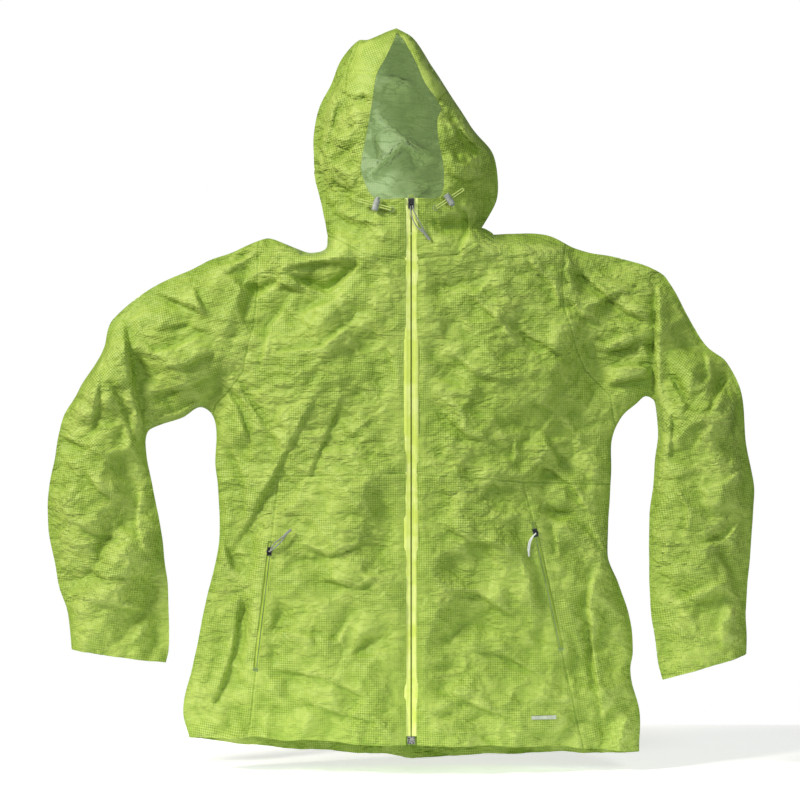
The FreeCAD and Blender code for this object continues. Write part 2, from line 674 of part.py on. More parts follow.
box_left = "0 - Sizes.box_width / 2"
bottom_box = block("zip_bottom_block", "Sizes.box_width", "4.6", "Sizes.box_height", box_left, "1.6",
                   "Sizes.zip_bottom - Sizes.box_height - Sizes.seam_gap")
keep(grouped("zip_bottom_body", [bottom_box], face), "zip_bottom_box")
stops = []
for sign in (-1, 1):
    stop_x = f"{sign} * (Sizes.tape_gap / 2 + Sizes.coil_radius) - Sizes.coil_radius"
    stops.append(block(f"zip_stop_{sign + 1}", "2 * Sizes.coil_radius", "3", "Sizes.stop_height", stop_x,
                       "Sizes.tape_recess", "Sizes.zip_top + Sizes.seam_gap"))
keep(grouped("zip_stop_pair", stops, face), "zip_top_stops")

POCKET_PULLS = {"left": (-1, 200), "right": (1, 52)}
ratio = "Sizes.pocket_ratio"
for side in SIDES:
    frame = pocket_frame(side)
    strips = [tape(f"pocket_tape_{side}_{sign + 1}", sign, ratio, "4 - Sizes.pocket_length", "-1")
              for sign in (-1, 1)]
    keep(grouped(f"pocket_tape_{side}_pair", strips, frame), f"pocket_tape_{side}")
    drop = FreeCAD.Placement(V(0, 0, -size("slider_length")), FreeCAD.Rotation())
    at_top = frame.multiply(drop)
    up, lean = POCKET_PULLS[side]
    keep(placed(f"pocket_slider_{side}_body", slider_parts(f"pocket_slider_{side}", ratio), at_top),
         f"pocket_slider_{side}")
    pull = pull_parts(f"pocket_pull_{side}", "Sizes.pocket_pull_length", up, lean)
    keep(placed(f"pocket_pull_{side}_body", pull, at_top), f"pocket_pull_{side}")

# ---------------------------------------------------------------------------- cords and cord locks
# Each set is built in a frame of its own: local Z runs along the cord from its eyelet, Y into the
# cloth. A cord is a hairpin of two strands that leaves the cloth and turns at its free end.


def hairpin(name, frame):
    """A doubled cord whose two strands join in a half turn."""
    strands = [rod(f"{name}_strand_{sign + 1}", "Sizes.cord_radius", "Sizes.cord_length",
                   f"{sign} * Sizes.strand_half", "0", "0") for sign in (-1, 1)]
    bend = doc.addObject("Part::Torus", f"{name}_bend")
    bend.Placement = FreeCAD.Placement(V(0, 0, 0), FreeCAD.Rotation(ACROSS, 90))
    bend.Angle3 = 180
    bind(bend, Radius1="Sizes.strand_half", Radius2="Sizes.cord_radius", Placement__Base__z="Sizes.cord_length")
    return placed(f"{name}_cord", strands + [bend], frame)


def cord_lock(name, frame):
    """A barrel across the cord with a window for both strands, and the button that closes it."""
    half = "Sizes.lock_length / 2"
    low_x = f"0 - {half}"
    middle = "Sizes.lock_place"
    barrel = rod(f"{name}_barrel", "Sizes.lock_radius", "Sizes.lock_length", low_x, "0", middle, V(0, 1, 0), 90)
    window = block(f"{name}_window", "2 * Sizes.window_half", "Sizes.window_depth", "4 * Sizes.lock_radius",
                   "0 - Sizes.window_half", "0 - Sizes.window_depth / 2", f"{middle} - 2 * Sizes.lock_radius")
    bore_start = f"{half} + Sizes.button_proud - Sizes.button_length - Sizes.spring_room - 1"
    bore = rod(f"{name}_bore", "Sizes.button_bore", "Sizes.lock_length", bore_start, "0", middle, V(0, 1, 0), 90)
    hollow = fuse(f"{name}_hollow", [window, bore])
    body = boolean("Cut", f"{name}_body", barrel, hollow)
    body_place = grouped(f"{name}_body_place", [body], frame)
    button_start = f"{half} + Sizes.button_proud - Sizes.button_length"
    button = rod(f"{name}_button_rod", "Sizes.button_radius", "Sizes.button_length", button_start, "0",
                 middle, V(0, 1, 0), 90)
    return body_place, grouped(f"{name}_button_body", [button], frame)


def raised(frame, height):
    """The same frame, lifted off the cloth."""
    return frame.multiply(FreeCAD.Placement(V(0, -height, 0), FreeCAD.Rotation()))


HOOD_CORDS = {"left": (32, 744, 20, 14), "right": (-26, 742, -21, 6)}
eyelets = []
for side, (x, z, along_x, along_z) in HOOD_CORDS.items():
    ground = face_frame(x, z, along_x, along_z)
    lifted = raised(ground, size("lock_height"))
    keep(hairpin(f"hood_cord_{side}", lifted), f"hood_cord_{side}")
    lock, button = cord_lock(f"hood_lock_{side}", lifted)
    keep(lock, f"hood_lock_{side}")
    keep(button, f"hood_button_{side}")
    ring = rod(f"hood_eyelet_{side}_ring", "Sizes.eyelet_radius", "Sizes.eyelet_thick", "0",
               "0 - Sizes.eyelet_thick / 2", "0", ACROSS, 90)
    hole = rod(f"hood_eyelet_{side}_hole", "Sizes.eyelet_bore", "4 * Sizes.eyelet_thick", "0",
               "Sizes.eyelet_thick", "0", ACROSS, 90)
    cut = boolean("Cut", f"hood_eyelet_{side}_cut", ring, hole)
    eyelets.append(grouped(f"hood_eyelet_{side}", [cut], ground))
keep(grouped("hood_eyelet_pair", eyelets, FreeCAD.Placement()), "hood_eyelets")

# The hem locks lie inside the hem, between the front and the back, and their cords reach the corners.
HEM_CORDS = {"left": (243, 30, 1, -0.12), "right": (-236, 60, -1, -0.5)}
for side, (x, z, along_x, along_z) in HEM_CORDS.items():
    along = V(along_x, 0, along_z).normalize()
    turn = FreeCAD.Rotation(BACK.cross(along), BACK, along, "ZYX")
    frame = FreeCAD.Placement(V(x, 0, z), turn)
    keep(hairpin(f"hem_cord_{side}", frame), f"hem_cord_{side}")
    lock, button = cord_lock(f"hem_lock_{side}", frame)
    keep(lock, f"hem_lock_{side}")
    keep(button, f"hem_button_{side}")

# ---------------------------------------------------------------------------- trims

chin = block("chin_guard_block", "2 * Sizes.chin_half", "Sizes.lining", "Sizes.chin_top - Sizes.chin_bottom",
             "0 - Sizes.chin_half", "0 - Sizes.chin_depth", "Sizes.chin_bottom")
keep(chin, "chin_guard")

# The hang loop is a strap that bows away from the inside of the back collar.
loop = doc.addObject("PartDesign::Body", "HangLoop")
plan = loop.newObject("Sketcher::SketchObject", "LoopPlan")
ground_plane = [feature for feature in loop.Origin.OriginFeatures if feature.Role == "XY_Plane"][0]
plan.AttachmentSupport = [(ground_plane, "")]
plan.MapMode = "FlatFace"
loop_radius = radius_of_chord(size("loop_half"), size("loop_bulge"))
loop_spread = math.asin(size("loop_half") / loop_radius)
centre = V(0, loop_radius - size("loop_bulge"), 0)
start_angle, end_angle = -math.pi / 2 - loop_spread, -math.pi / 2 + loop_spread
outer_radius = loop_radius + size("loop_strap")
plan.addGeometry(Part.ArcOfCircle(Part.Circle(centre, V(0, 0, 1), loop_radius), start_angle, end_angle))
plan.addGeometry(Part.ArcOfCircle(Part.Circle(centre, V(0, 0, 1), outer_radius), start_angle, end_angle))
for number in (0, 1):
    end_a = plan.getPoint(0, number + 1)
    end_b = plan.getPoint(1, number + 1)
    plan.addGeometry(Part.LineSegment(end_a, end_b))
    plan.addConstraint(Sketcher.Constraint("Coincident", 0, number + 1, 2 + number, 1))
    plan.addConstraint(Sketcher.Constraint("Coincident", 1, number + 1, 2 + number, 2))
plan.addConstraint(Sketcher.Constraint("Coincident", 0, 3, 1, 3))
plan.addConstraint(Sketcher.Constraint("PointOnObject", 0, 2, -1))
plan.addConstraint(Sketcher.Constraint("Symmetric", 0, 1, 0, 2, -1, 1))
plan.addConstraint(Sketcher.Constraint("PointOnObject", 0, 3, 2))
plan.addConstraint(Sketcher.Constraint("PointOnObject", 0, 3, 3))
span = plan.addConstraint(Sketcher.Constraint("DistanceX", -1, 1, 0, 2, size("loop_half")))
bow = plan.addConstraint(Sketcher.Constraint("Radius", 0, loop_radius))
strap = plan.addConstraint(Sketcher.Constraint("Radius", 1, outer_radius))
bow_expression = "((Sizes.loop_half^2 + Sizes.loop_bulge^2) / (2 * Sizes.loop_bulge))"
plan.setExpression(f"Constraints[{span}]", "Sizes.loop_half")
plan.setExpression(f"Constraints[{bow}]", bow_expression)
plan.setExpression(f"Constraints[{strap}]", f"{bow_expression} + Sizes.loop_strap")
strap_pad = loop.newObject("PartDesign::Pad", "LoopStrap")
strap_pad.Profile = plan
bind(strap_pad, Length="Sizes.loop_height")
bind(loop, Placement__Base__x="-4", Placement__Base__y="Sizes.loop_depth",
     Placement__Base__z="Sizes.loop_place")
keep(loop, "hang_loop")

# A plain reflective bar on the lower left front.
mark = block("reflective_bar", "Sizes.mark_width", "Sizes.mark_thick", "Sizes.mark_height",
             "0 - Sizes.mark_width / 2", "0 - Sizes.mark_thick - 0.5", "0 - Sizes.mark_height / 2")
keep(grouped("reflective_body", [mark], face_frame(177, 65, 0, 1)), "reflective_mark")

# ---------------------------------------------------------------------------- files

doc.recompute()
for item in doc.Objects:
    if any(state in ("Invalid", "Error") for state in item.State):
        raise RuntimeError(f"{item.Name} failed: {item.State}")
os.makedirs("parts", exist_ok=True)
for item in nodes:
    if item.Shape.isNull() or not item.Shape.isValid() or not item.Shape.Solids:
        raise RuntimeError(f"{item.Label} has no valid solid")
for item in nodes:
    item.Shape.exportStep(f"parts/{item.Label}.step")
print(f"{len(nodes)} nodes written")
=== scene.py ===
import json
import math

import bpy
import numpy as np
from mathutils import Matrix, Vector
from mathutils.bvhtree import BVHTree
from mathutils.geometry import delaunay_2d_cdt
from mathutils.kdtree import KDTree

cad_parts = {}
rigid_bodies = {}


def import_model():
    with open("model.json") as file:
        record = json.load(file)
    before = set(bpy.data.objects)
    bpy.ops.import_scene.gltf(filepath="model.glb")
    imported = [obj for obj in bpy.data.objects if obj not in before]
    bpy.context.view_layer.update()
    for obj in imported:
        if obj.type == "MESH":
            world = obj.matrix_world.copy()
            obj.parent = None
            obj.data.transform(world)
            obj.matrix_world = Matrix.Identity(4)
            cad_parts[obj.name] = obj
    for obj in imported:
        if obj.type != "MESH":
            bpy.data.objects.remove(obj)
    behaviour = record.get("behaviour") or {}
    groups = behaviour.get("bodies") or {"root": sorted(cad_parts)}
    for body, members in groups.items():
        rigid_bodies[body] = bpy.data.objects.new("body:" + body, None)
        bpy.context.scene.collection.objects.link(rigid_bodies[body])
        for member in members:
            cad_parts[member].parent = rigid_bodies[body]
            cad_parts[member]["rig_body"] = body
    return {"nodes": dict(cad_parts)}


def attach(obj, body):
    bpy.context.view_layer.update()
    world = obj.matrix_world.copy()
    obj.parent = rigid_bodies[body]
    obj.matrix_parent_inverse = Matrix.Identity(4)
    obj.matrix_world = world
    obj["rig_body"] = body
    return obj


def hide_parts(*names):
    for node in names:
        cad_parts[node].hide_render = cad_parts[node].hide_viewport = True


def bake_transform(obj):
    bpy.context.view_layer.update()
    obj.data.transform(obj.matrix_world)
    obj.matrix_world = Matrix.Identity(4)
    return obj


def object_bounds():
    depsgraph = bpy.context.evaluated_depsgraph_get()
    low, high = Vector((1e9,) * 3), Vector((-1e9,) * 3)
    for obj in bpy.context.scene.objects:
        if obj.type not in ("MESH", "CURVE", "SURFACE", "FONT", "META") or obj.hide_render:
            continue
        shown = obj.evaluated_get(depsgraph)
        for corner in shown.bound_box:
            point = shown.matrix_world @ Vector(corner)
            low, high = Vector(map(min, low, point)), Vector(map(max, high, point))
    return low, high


# A hooded ripstop shell jacket lying flat, face up. Each face of the jacket, front and back, is one
# sheet of triangles: its outline and seams are drawn in millimetres in the x-z plane, its depth comes
# from the CAD cloth, and folds, creases and crumple are added on top. The sheet is then cut along its
# seams into one piece of cloth for each CAD panel.

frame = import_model()
cad_low, cad_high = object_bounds()

MM = 0.001

# ---------------------------------------------------------------------------- outlines, mm: x, z

HOOD_EDGE_LEFT = ((-19, 992), (3, 978), (30, 938), (79, 863), (109, 825), (118, 786), (114, 757), (94, 722))
OUTER_LEFT = ((110, 713), (181, 711), (221, 694), (305, 674), (330, 665), (345, 654), (388, 578), (402, 559),
              (426, 540), (446, 500), (452, 430), (462, 375), (462, 345), (452, 200), (451, 146))
INNER_LEFT = ((339, 112), (326, 190), (321, 300), (329, 400), (332, 450), (329, 485), (316, 494), (304, 485),
              (284, 466), (270, 430), (270, 380), (265, 280), (281, 239), (297, 185), (299, 150), (296, 126),
              (306, 80), (309, 50), (307, 14))
FRONT_HEM = ((230, 22), (120, 28), (9, 30), (-9, 30), (-150, 34), (-219, 37), (-262, 36))
BACK_HEM = ((286, 12), (170, 6), (0, 0), (-150, 12), (-236, 24))
INNER_RIGHT = ((-300, 34), (-309, 69), (-296, 126), (-281, 201), (-259, 296), (-263, 400), (-262, 447),
               (-268, 468), (-285, 478), (-308, 466), (-340, 455), (-355, 447), (-358, 428), (-346, 352),
               (-335, 296), (-328, 220), (-327, 150), (-330, 134))
OUTER_RIGHT = ((-457, 152), (-460, 182), (-478, 258), (-491, 340), (-482, 409), (-468, 466), (-446, 504),
               (-414, 560), (-401, 598), (-356, 636), (-274, 674), (-206, 703), (-190, 706), (-155, 693),
               (-135, 688), (-115, 693), (-112, 711))
HOOD_EDGE_RIGHT = ((-119, 749), (-132, 800), (-130, 863), (-109, 919), (-90, 957), (-72, 975), (-58, 976),
                   (-24, 990), (-19, 992))
CREASE_STEP = 4.0


def curved(corners, step=CREASE_STEP):
    """A smooth line through all the corners, as points about a step apart."""
    corners = [np.array(corner, float) for corner in corners]
    before, after = 2 * corners[0] - corners[1], 2 * corners[-1] - corners[-2]
    row = [before] + corners + [after]
    found = [tuple(corners[0])]
    for a, b, c, d in zip(row, row[1:], row[2:], row[3:]):
        length = np.linalg.norm(c - b)
        lean_b = (c - a) / (np.linalg.norm(b - a) + length) * length
        lean_c = (d - b) / (np.linalg.norm(d - c) + length) * length
        count = max(1, round(length / step))
        for share in np.arange(1, count + 1) / count:
            square, cube = share ** 2, share ** 3
            point = ((2 * cube - 3 * square + 1) * b + (cube - 2 * square + share) * lean_b
                     + (3 * square - 2 * cube) * c + (cube - square) * lean_c)
            found.append(tuple(point))
    return tuple(found)


HOOD_EDGE_LEFT, OUTER_LEFT, INNER_LEFT = curved(HOOD_EDGE_LEFT), curved(OUTER_LEFT), curved(INNER_LEFT)
HOOD_EDGE_RIGHT, OUTER_RIGHT, INNER_RIGHT = curved(HOOD_EDGE_RIGHT), curved(OUTER_RIGHT), curved(INNER_RIGHT)
CREASES = (HOOD_EDGE_LEFT, OUTER_LEFT, INNER_LEFT, INNER_RIGHT, OUTER_RIGHT, HOOD_EDGE_RIGHT)

FACE_LEFT = ((-18, 984), (-32, 951), (-46, 923), (-52, 887), (-59, 846), (-66, 809), (-66, 790), (-49, 758),
             (-8.2, 757))
FACE_NOTCH = ((-7.8, 741), (7.8, 741))
FACE_RIGHT = ((8.2, 757), (36, 758), (43, 772), (43, 800), (36, 838), (35, 862), (40, 880), (20, 910),
              (7, 940), (-11, 976))
FACE_OPENING = curved(FACE_LEFT) + FACE_NOTCH + curved(FACE_RIGHT)
ZIP_HALF = 7.2
ZIP_WINDOW = ((-ZIP_HALF, 20), (ZIP_HALF, 20), (ZIP_HALF, 745), (-ZIP_HALF, 745))

ARMHOLE_LEFT = ((206, 730), (208, 702), (201, 650), (205, 610), (222, 555), (234, 528), (268, 494),
                (272, 465), (279, 440))
ARMHOLE_RIGHT = ((-206, 730), (-206, 706), (-207, 640), (-211, 590), (-219, 560), (-226, 525), (-246, 500),
                 (-262, 484), (-272, 450))
# The lines across the sleeves where one piece ends and the next begins, from the armhole to the cuff.
CUTS_LEFT = (((293, 700), (319, 450)), ((322, 700), (322, 455)), ((475, 482), (300, 411)),
             ((480, 120), (310, 85)))
CUTS_RIGHT = (((-310, 690), (-324, 436)), ((-374, 655), (-336, 430)), ((-500, 450), (-328, 392)),
              ((-520, 130), (-310, 110)))
SLEEVE_PIECES = ("armhole_gusset", "upper_sleeve", "elbow_panel", "lower_sleeve")

WAIST_LEFT = ((5, 390), (109, 383), (149, 379), (340, 372))
WAIST_RIGHT = ((-5, 392), (-120, 388), (-178, 386), (-340, 384))
POCKET_LEFT = ((149, 379), (163, 325), (230, 22), (234, 0))
POCKET_RIGHT = ((-178, 386), (-188, 300), (-219, 37), (-221, 10))
NECK_LEFT = ((5, 676), (60, 683), (106, 712), (125, 730))
NECK_RIGHT = ((-5, 676), (-62, 683), (-114, 712), (-130, 730))
BRIM = ((-88, 896), (-86, 933), (-70, 976), (-45, 1010), (10, 1010), (26, 930), (50, 906), (38, 890),
        (-46, 890))
NECK_BACK = ((-130, 730), (-114, 712), (-4, 692), (106, 712), (125, 730))
HOOD_STRIP = ((-60, 800), (-44, 1010), (6, 1010), (48, 800))
BAND_LOW, BAND_HIGH = 752, 800
YOKE_HEIGHT = 560


def sleeve_zones(side):
    """Outlines of a sleeve's pieces between its cut lines."""
    armhole, cuts = (ARMHOLE_LEFT, CUTS_LEFT) if side == "left" else (ARMHOLE_RIGHT, CUTS_RIGHT)
    lines = (armhole,) + cuts
    return [(f"{name}_{side}", tuple(upper) + tuple(reversed(lower)))
            for name, upper, lower in zip(SLEEVE_PIECES, lines, lines[1:])]


# The neck band and the two sides of the hood, which reach round to the back.
HOOD_ZONES = [
    ("hood_neck_band", ((-150, BAND_LOW), (150, BAND_LOW), (150, BAND_HIGH), (-150, BAND_HIGH))),
    ("hood_side_right", ((-150, BAND_HIGH), (-8, BAND_HIGH), (-22, 1010), (-150, 1010))),
    ("hood_side_left", ((-8, BAND_HIGH), (150, BAND_HIGH), (150, 1010), (-22, 1010))),
]


def front_zones():
    """Name and outline of every cloth piece on the front; the first outline that holds a point has it."""
    zones = [("hood_brim", BRIM)] + HOOD_ZONES
    zones += [
        ("collar_front_left", NECK_LEFT + ((140, BAND_LOW), (5, BAND_LOW))),
        ("collar_front_right", NECK_RIGHT + ((-140, BAND_LOW), (-5, BAND_LOW))),
    ]
    zones += sleeve_zones("left") + sleeve_zones("right")
    zones += [
        ("front_upper_left", WAIST_LEFT + ((340, 760), (5, 760))),
        ("front_upper_right", WAIST_RIGHT + ((-340, 760), (-5, 760))),
        ("front_lower_left", ((5, 0), (5, 390), (109, 383)) + POCKET_LEFT),
        ("front_lower_right", ((-5, 0), (-5, 392), (-120, 388)) + POCKET_RIGHT),
        ("side_panel_left", POCKET_LEFT + ((340, 0), (340, 372))),
        ("side_panel_right", POCKET_RIGHT + ((-340, 0), (-340, 384))),
    ]
    return zones


def back_zones():
    """The same for the back."""
    zones = HOOD_ZONES[:1] + [("hood_centre", HOOD_STRIP)] + HOOD_ZONES[1:]
    zones += [("collar_back", NECK_BACK + ((140, BAND_LOW), (-140, BAND_LOW)))]
    zones += sleeve_zones("left") + sleeve_zones("right")
    zones += [
        ("back_yoke", ((-340, YOKE_HEIGHT), (340, YOKE_HEIGHT), (340, 760), (-340, 760))),
        ("back_panel", ((-340, -20), (340, -20), (340, YOKE_HEIGHT), (-340, YOKE_HEIGHT))),
    ]
    return zones


FRONT_SEAMS = (ARMHOLE_LEFT, ARMHOLE_RIGHT, WAIST_LEFT, WAIST_RIGHT, POCKET_LEFT, POCKET_RIGHT, NECK_LEFT,
               NECK_RIGHT, BRIM + BRIM[:1], ((-84, 931), (-44, 926)))
BACK_SEAMS = (ARMHOLE_LEFT, ARMHOLE_RIGHT, NECK_BACK, ((-260, YOKE_HEIGHT), (260, YOKE_HEIGHT)),
              HOOD_STRIP[:2], HOOD_STRIP[2:])

POCKET_LENGTH = 176
POCKET_HALF = 3.7
CUFF_STITCH = 32

# ---------------------------------------------------------------------------- folds, mm
# Each fold is a line with a relief on its two sides: height beside it and how far that reaches, first
# on the left of someone who walks along the line, then on the right. Heights are towards the viewer.

FRONT_FOLDS = (
    # chest, wearer's right
    (((-113, 518), (-158, 435), (-190, 375), (-213, 332), (-251, 274)), -3.4, 10, 3.4, 20),
    (((-87, 504), (-122, 420), (-150, 350)), -2.6, 9, 2.4, 16),
    (((-34, 570), (-26, 535), (-18, 502)), 3, 8, -4, 9),
    (((-150, 640), (-190, 585), (-205, 520)), 4, 20, -5, 20),
    (((-60, 660), (-110, 620), (-160, 600)), 4, 18, -3, 14),
    (((-70, 600), (-120, 560), (-190, 550)), 4, 15, -5, 16),
    (((-258, 515), (-232, 480), (-215, 425)), -6, 7, 4, 12),
    (((-240, 520), (-205, 470), (-190, 440)), -5, 8, 4, 14),
    (((-250, 440), (-225, 380), (-222, 320)), 4, 12, -4, 10),
    # chest, wearer's left
    (((141, 583), (175, 563), (206, 545)), 4, 14, -5, 12),
    (((194, 472), (176, 480), (161, 486)), -5, 10, 3, 10),
    (((137, 439), (136, 422), (137, 407)), 3, 7, -4, 7),
    (((206, 393), (190, 420), (177, 448)), 4, 10, -4, 10),
    (((159, 411), (190, 392), (216, 374), (244, 326)), 4, 16, -6, 12),
    (((113, 385), (104, 374), (90, 352)), -4, 10, 3, 12),
    (((60, 640), (110, 600), (140, 560)), 4, 18, -4, 14),
    (((40, 560), (90, 520), (150, 512)), 4, 16, -5, 16),
    (((30, 480), (75, 440), (120, 430)), 3, 14, -4, 12),
    (((150, 680), (190, 640), (196, 610)), 4, 16, -5, 14),
    # lower front, wearer's right
    (((-192, 182), (-100, 171), (-65, 219)), -3, 14, 4, 20),
    (((-200, 130), (-120, 120), (-50, 90)), 4, 16, -3, 16),
    (((-160, 300), (-110, 280), (-60, 300)), 4, 16, -4, 14),
    (((-130, 250), (-70, 240), (-30, 260)), 3, 14, -4, 12),
    (((-150, 90), (-90, 70), (-30, 60)), 3, 14, -3, 12),
    # lower front, wearer's left
    (((30, 330), (80, 300), (140, 290)), 4, 18, -4, 16),
    (((30, 240), (90, 230), (150, 190)), 4, 16, -5, 16),
    (((60, 160), (120, 150), (190, 110)), 4, 16, -4, 14),
    (((30, 110), (90, 80), (150, 60)), 3, 14, -3, 12),
    # the side panel rolls over the front at the wearer's right
    (((-226, 250), (-231, 208), (-239, 154), (-252, 111), (-275, 60)), -4, 9, 5, 24),
    (((-262, 330), (-250, 290), (-236, 250)), -4, 8, 4, 14),
    # side panel, wearer's left: a crease beside the pocket and the fall of the side
    (((189, 330), (193, 302), (196, 274)), 3, 10, -4, 5),
    (((256, 300), (236, 220), (246, 120), (262, 30)), 5, 22, -6, 14),
    (((230, 330), (252, 300), (262, 280)), 4, 12, -4, 10),
    # right shoulder and upper sleeve
    (((-347, 633), (-317, 622), (-286, 609), (-275, 597)), 5, 14, -7, 16),
    (((-366, 573), (-344, 552), (-315, 559), (-277, 579)), -7, 14, 5, 12),
    (((-366, 492), (-315, 503), (-266, 521), (-250, 539)), 4, 12, -5, 9),
    (((-350, 462), (-311, 474), (-277, 494)), -4, 6, 5, 12),
    (((-293, 640), (-283, 622), (-273, 606)), -6, 6, 5, 10),
    (((-243, 653), (-209, 629), (-170, 650)), -9, 15, 4, 16),
    (((-150, 633), (-165, 640), (-185, 646)), -5, 10, 5, 12),
    (((-58, 676), (-84, 656), (-110, 632), (-140, 642), (-176, 660)), 5, 12, -13, 13),
    (((-178, 664), (-130, 672), (-70, 676)), 6, 10, -6, 10),
    (((-280, 668), (-240, 672), (-206, 690)), -4, 10, 4, 8),
    (((-330, 585), (-300, 590), (-262, 575)), 4, 12, -3, 12),
    (((-345, 530), (-300, 535), (-260, 555)), 4, 12, -4, 10),
    # right elbow: the lower sleeve lies over the upper one
    (((-397, 604), (-385, 590), (-372, 512), (-360, 450), (-352, 420)), -7, 12, 9, 34),
    (((-408, 548), (-415, 527), (-419, 493), (-429, 439)), -5, 6, 4, 16),
    (((-412, 524), (-396, 499), (-382, 461), (-371, 427), (-362, 396)), -5, 7, 4, 16),
    (((-470, 439), (-450, 430), (-427, 425)), 4, 12, -4, 8),
    (((-440, 400), (-420, 370), (-395, 350)), 4, 16, -4, 12),
    (((-460, 330), (-430, 310), (-370, 300)), 3, 14, -4, 12),
    (((-365, 380), (-370, 320), (-350, 270)), 4, 10, -4, 12),
    (((-455, 270), (-410, 250), (-350, 255)), 3, 14, -3, 12),
    (((-440, 220), (-400, 215), (-350, 200)), 3, 12, -3, 12),
    # left shoulder and upper sleeve
    (((215, 671), (246, 642), (291, 606), (331, 590)), 6, 22, -8, 12),
    (((252, 552), (291, 559), (308, 575)), 5, 12, -6, 10),
    (((306, 566), (326, 550), (334, 545)), -6, 6, 4, 10),
    (((264, 532), (291, 535), (328, 532)), -8, 7, 5, 14),
    (((258, 508), (279, 512), (312, 518), (330, 516)), 5, 12, -9, 8),
    (((205, 630), (232, 600), (262, 590)), 4, 14, -5, 12),
    (((212, 690), (208, 660), (214, 630)), 4, 10, -3, 8),
    (((225, 610), (255, 618), (290, 640)), 4, 12, -4, 12),
    (((240, 575), (262, 562), (290, 580)), -4, 10, 4, 12),
    # left elbow: the lower sleeve lies over the upper one
    (((338, 661), (331, 644), (330, 593), (328, 548), (329, 508), (333, 452), (331, 410)), 9, 34, -8, 12),
    (((347, 524), (358, 500), (371, 477)), -6, 5, 4, 12),
    (((432, 526), (412, 495), (394, 463)), 4, 12, -8, 10),
    (((394, 463), (384, 455), (372, 452)), -6, 8, 3, 10),
    (((439, 497), (431, 462), (420, 429)), -4, 8, 5, 12),
    (((349, 479), (347, 440), (347, 400)), -5, 7, 4, 10),
    (((395, 560), (400, 520), (380, 500)), 4, 12, -3, 12),
    (((450, 400), (420, 380), (380, 372)), 4, 16, -4, 14),
    (((345, 380), (370, 340), (365, 300)), 4, 12, -5, 12),
    (((445, 330), (420, 300), (372, 290)), 4, 14, -4, 12),
    (((440, 250), (400, 240), (345, 215)), 3, 12, -4, 12),
    (((420, 210), (412, 180), (420, 150)), 3, 10, -3, 10),
    # hood, wearer's right
    (((-86, 900), (-100, 880), (-112, 840), (-118, 815)), -5, 7, 5, 14),
    (((-70, 860), (-85, 845), (-110, 842)), 3, 10, -3, 10),
    (((-66, 838), (-90, 812), (-120, 800)), 3, 12, -4, 10),
    (((-110, 792), (-92, 776), (-70, 766)), 4, 14, -4, 10),
    (((-105, 745), (-80, 728), (-52, 722)), 4, 14, -5, 10),
    # hood and collar, wearer's left
    (((46, 868), (60, 850), (62, 832)), -6, 7, 5, 10),
    (((62, 858), (78, 836), (100, 818)), 5, 12, -6, 12),
    (((52, 822), (62, 806), (82, 800)), -5, 8, 4, 12),
    (((46, 796), (70, 780), (104, 792)), 4, 14, -4, 10),
    (((60, 756), (75, 735), (76, 712), (66, 690), (64, 672)), 5, 12, -7, 8),
    (((76, 712), (98, 728), (112, 745)), -7, 8, 4, 12),
    (((28, 748), (34, 728), (38, 712)), 3, 8, -3, 8),
)

BACK_FOLDS = (
    (((-180, 480), (-60, 520), (90, 500), (190, 540)), 5, 30, -5, 26),
    (((-200, 380), (-80, 340), (60, 360), (210, 300)), 5, 30, -5, 30),
    (((-120, 620), (0, 600), (130, 640)), 4, 26, -4, 24),
    (((-180, 240), (-40, 210), (110, 240), (220, 180)), 5, 30, -5, 26),
    (((-210, 120), (-60, 100), (90, 130)), 4, 26, -4, 22),
    (((-90, 850), (-20, 860), (60, 840)), 4, 18, -4, 16),
    (((-380, 520), (-400, 440), (-440, 360)), 4, 16, -4, 14),
    (((380, 520), (400, 440), (410, 340)), 4, 16, -4, 14),
)

# Inside of the hood, seen through the face opening: these are folds of its back.
HOOD_FOLDS = (
    (((-50, 895), (-34, 872), (-10, 850), (20, 830), (38, 822)), -5, 9, 6, 14),
    (((-62, 792), (-40, 815), (-20, 832), (-4, 848)), 6, 12, -7, 10),
    (((-40, 936), (-15, 930), (10, 925)), -4, 6, 3, 10),
    (((-48, 860), (-46, 835), (-40, 812)), 3, 6, -3, 6),
    (((-4, 848), (4, 820), (10, 800)), 3, 7, -3, 7),
    (((2, 762), (14, 775), (28, 784)), 3, 7, -3, 7),
)

# ---------------------------------------------------------------------------- noise

TABLE = 64


def random_table(seed):
    """Random heights from -1 to 1 on a square lattice, the same for the same seed."""
    return np.random.default_rng(seed).uniform(-1, 1, (TABLE, TABLE))


def facets(points, size, seed):
    """Faceted noise from -1 to 1: random heights on a triangular lattice, joined by flat triangles."""
    heights = random_table(seed)
    grid = points / size
    grid = grid + grid.sum(1, keepdims=True) * (math.sqrt(3) - 1) / 2
    cell = np.floor(grid).astype(int)
    u, v = (grid - cell).T
    i, j = cell.T % TABLE
    ii, jj = (i + 1) % TABLE, (j + 1) % TABLE
    low, high = heights[i, j], heights[ii, jj]
    steep = u >= v
    side = np.where(steep, heights[ii, j], heights[i, jj])
    big, small = np.where(steep, u, v), np.where(steep, v, u)
    return low * (1 - big) + side * (big - small) + high * small


def swell(points, size, seed):
    """Smooth noise from -1 to 1."""
    heights = random_table(seed)
    grid = points / size
    cell = np.floor(grid).astype(int)
    part = grid - cell
    u, v = (part * part * (3 - 2 * part)).T
    i, j = cell.T % TABLE
    ii, jj = (i + 1) % TABLE, (j + 1) % TABLE
    low = heights[i, j] * (1 - u) + heights[ii, j] * u
    high = heights[i, jj] * (1 - u) + heights[ii, jj] * u
    return low * (1 - v) + high * v


def warped(points, size, seed, strength=0.45):
    """Points pushed about, so that noise laid on them loses its lattice."""
    push = np.stack([swell(points, size, seed + 101), swell(points, size, seed + 102)], 1)
    return points + push * size * strength


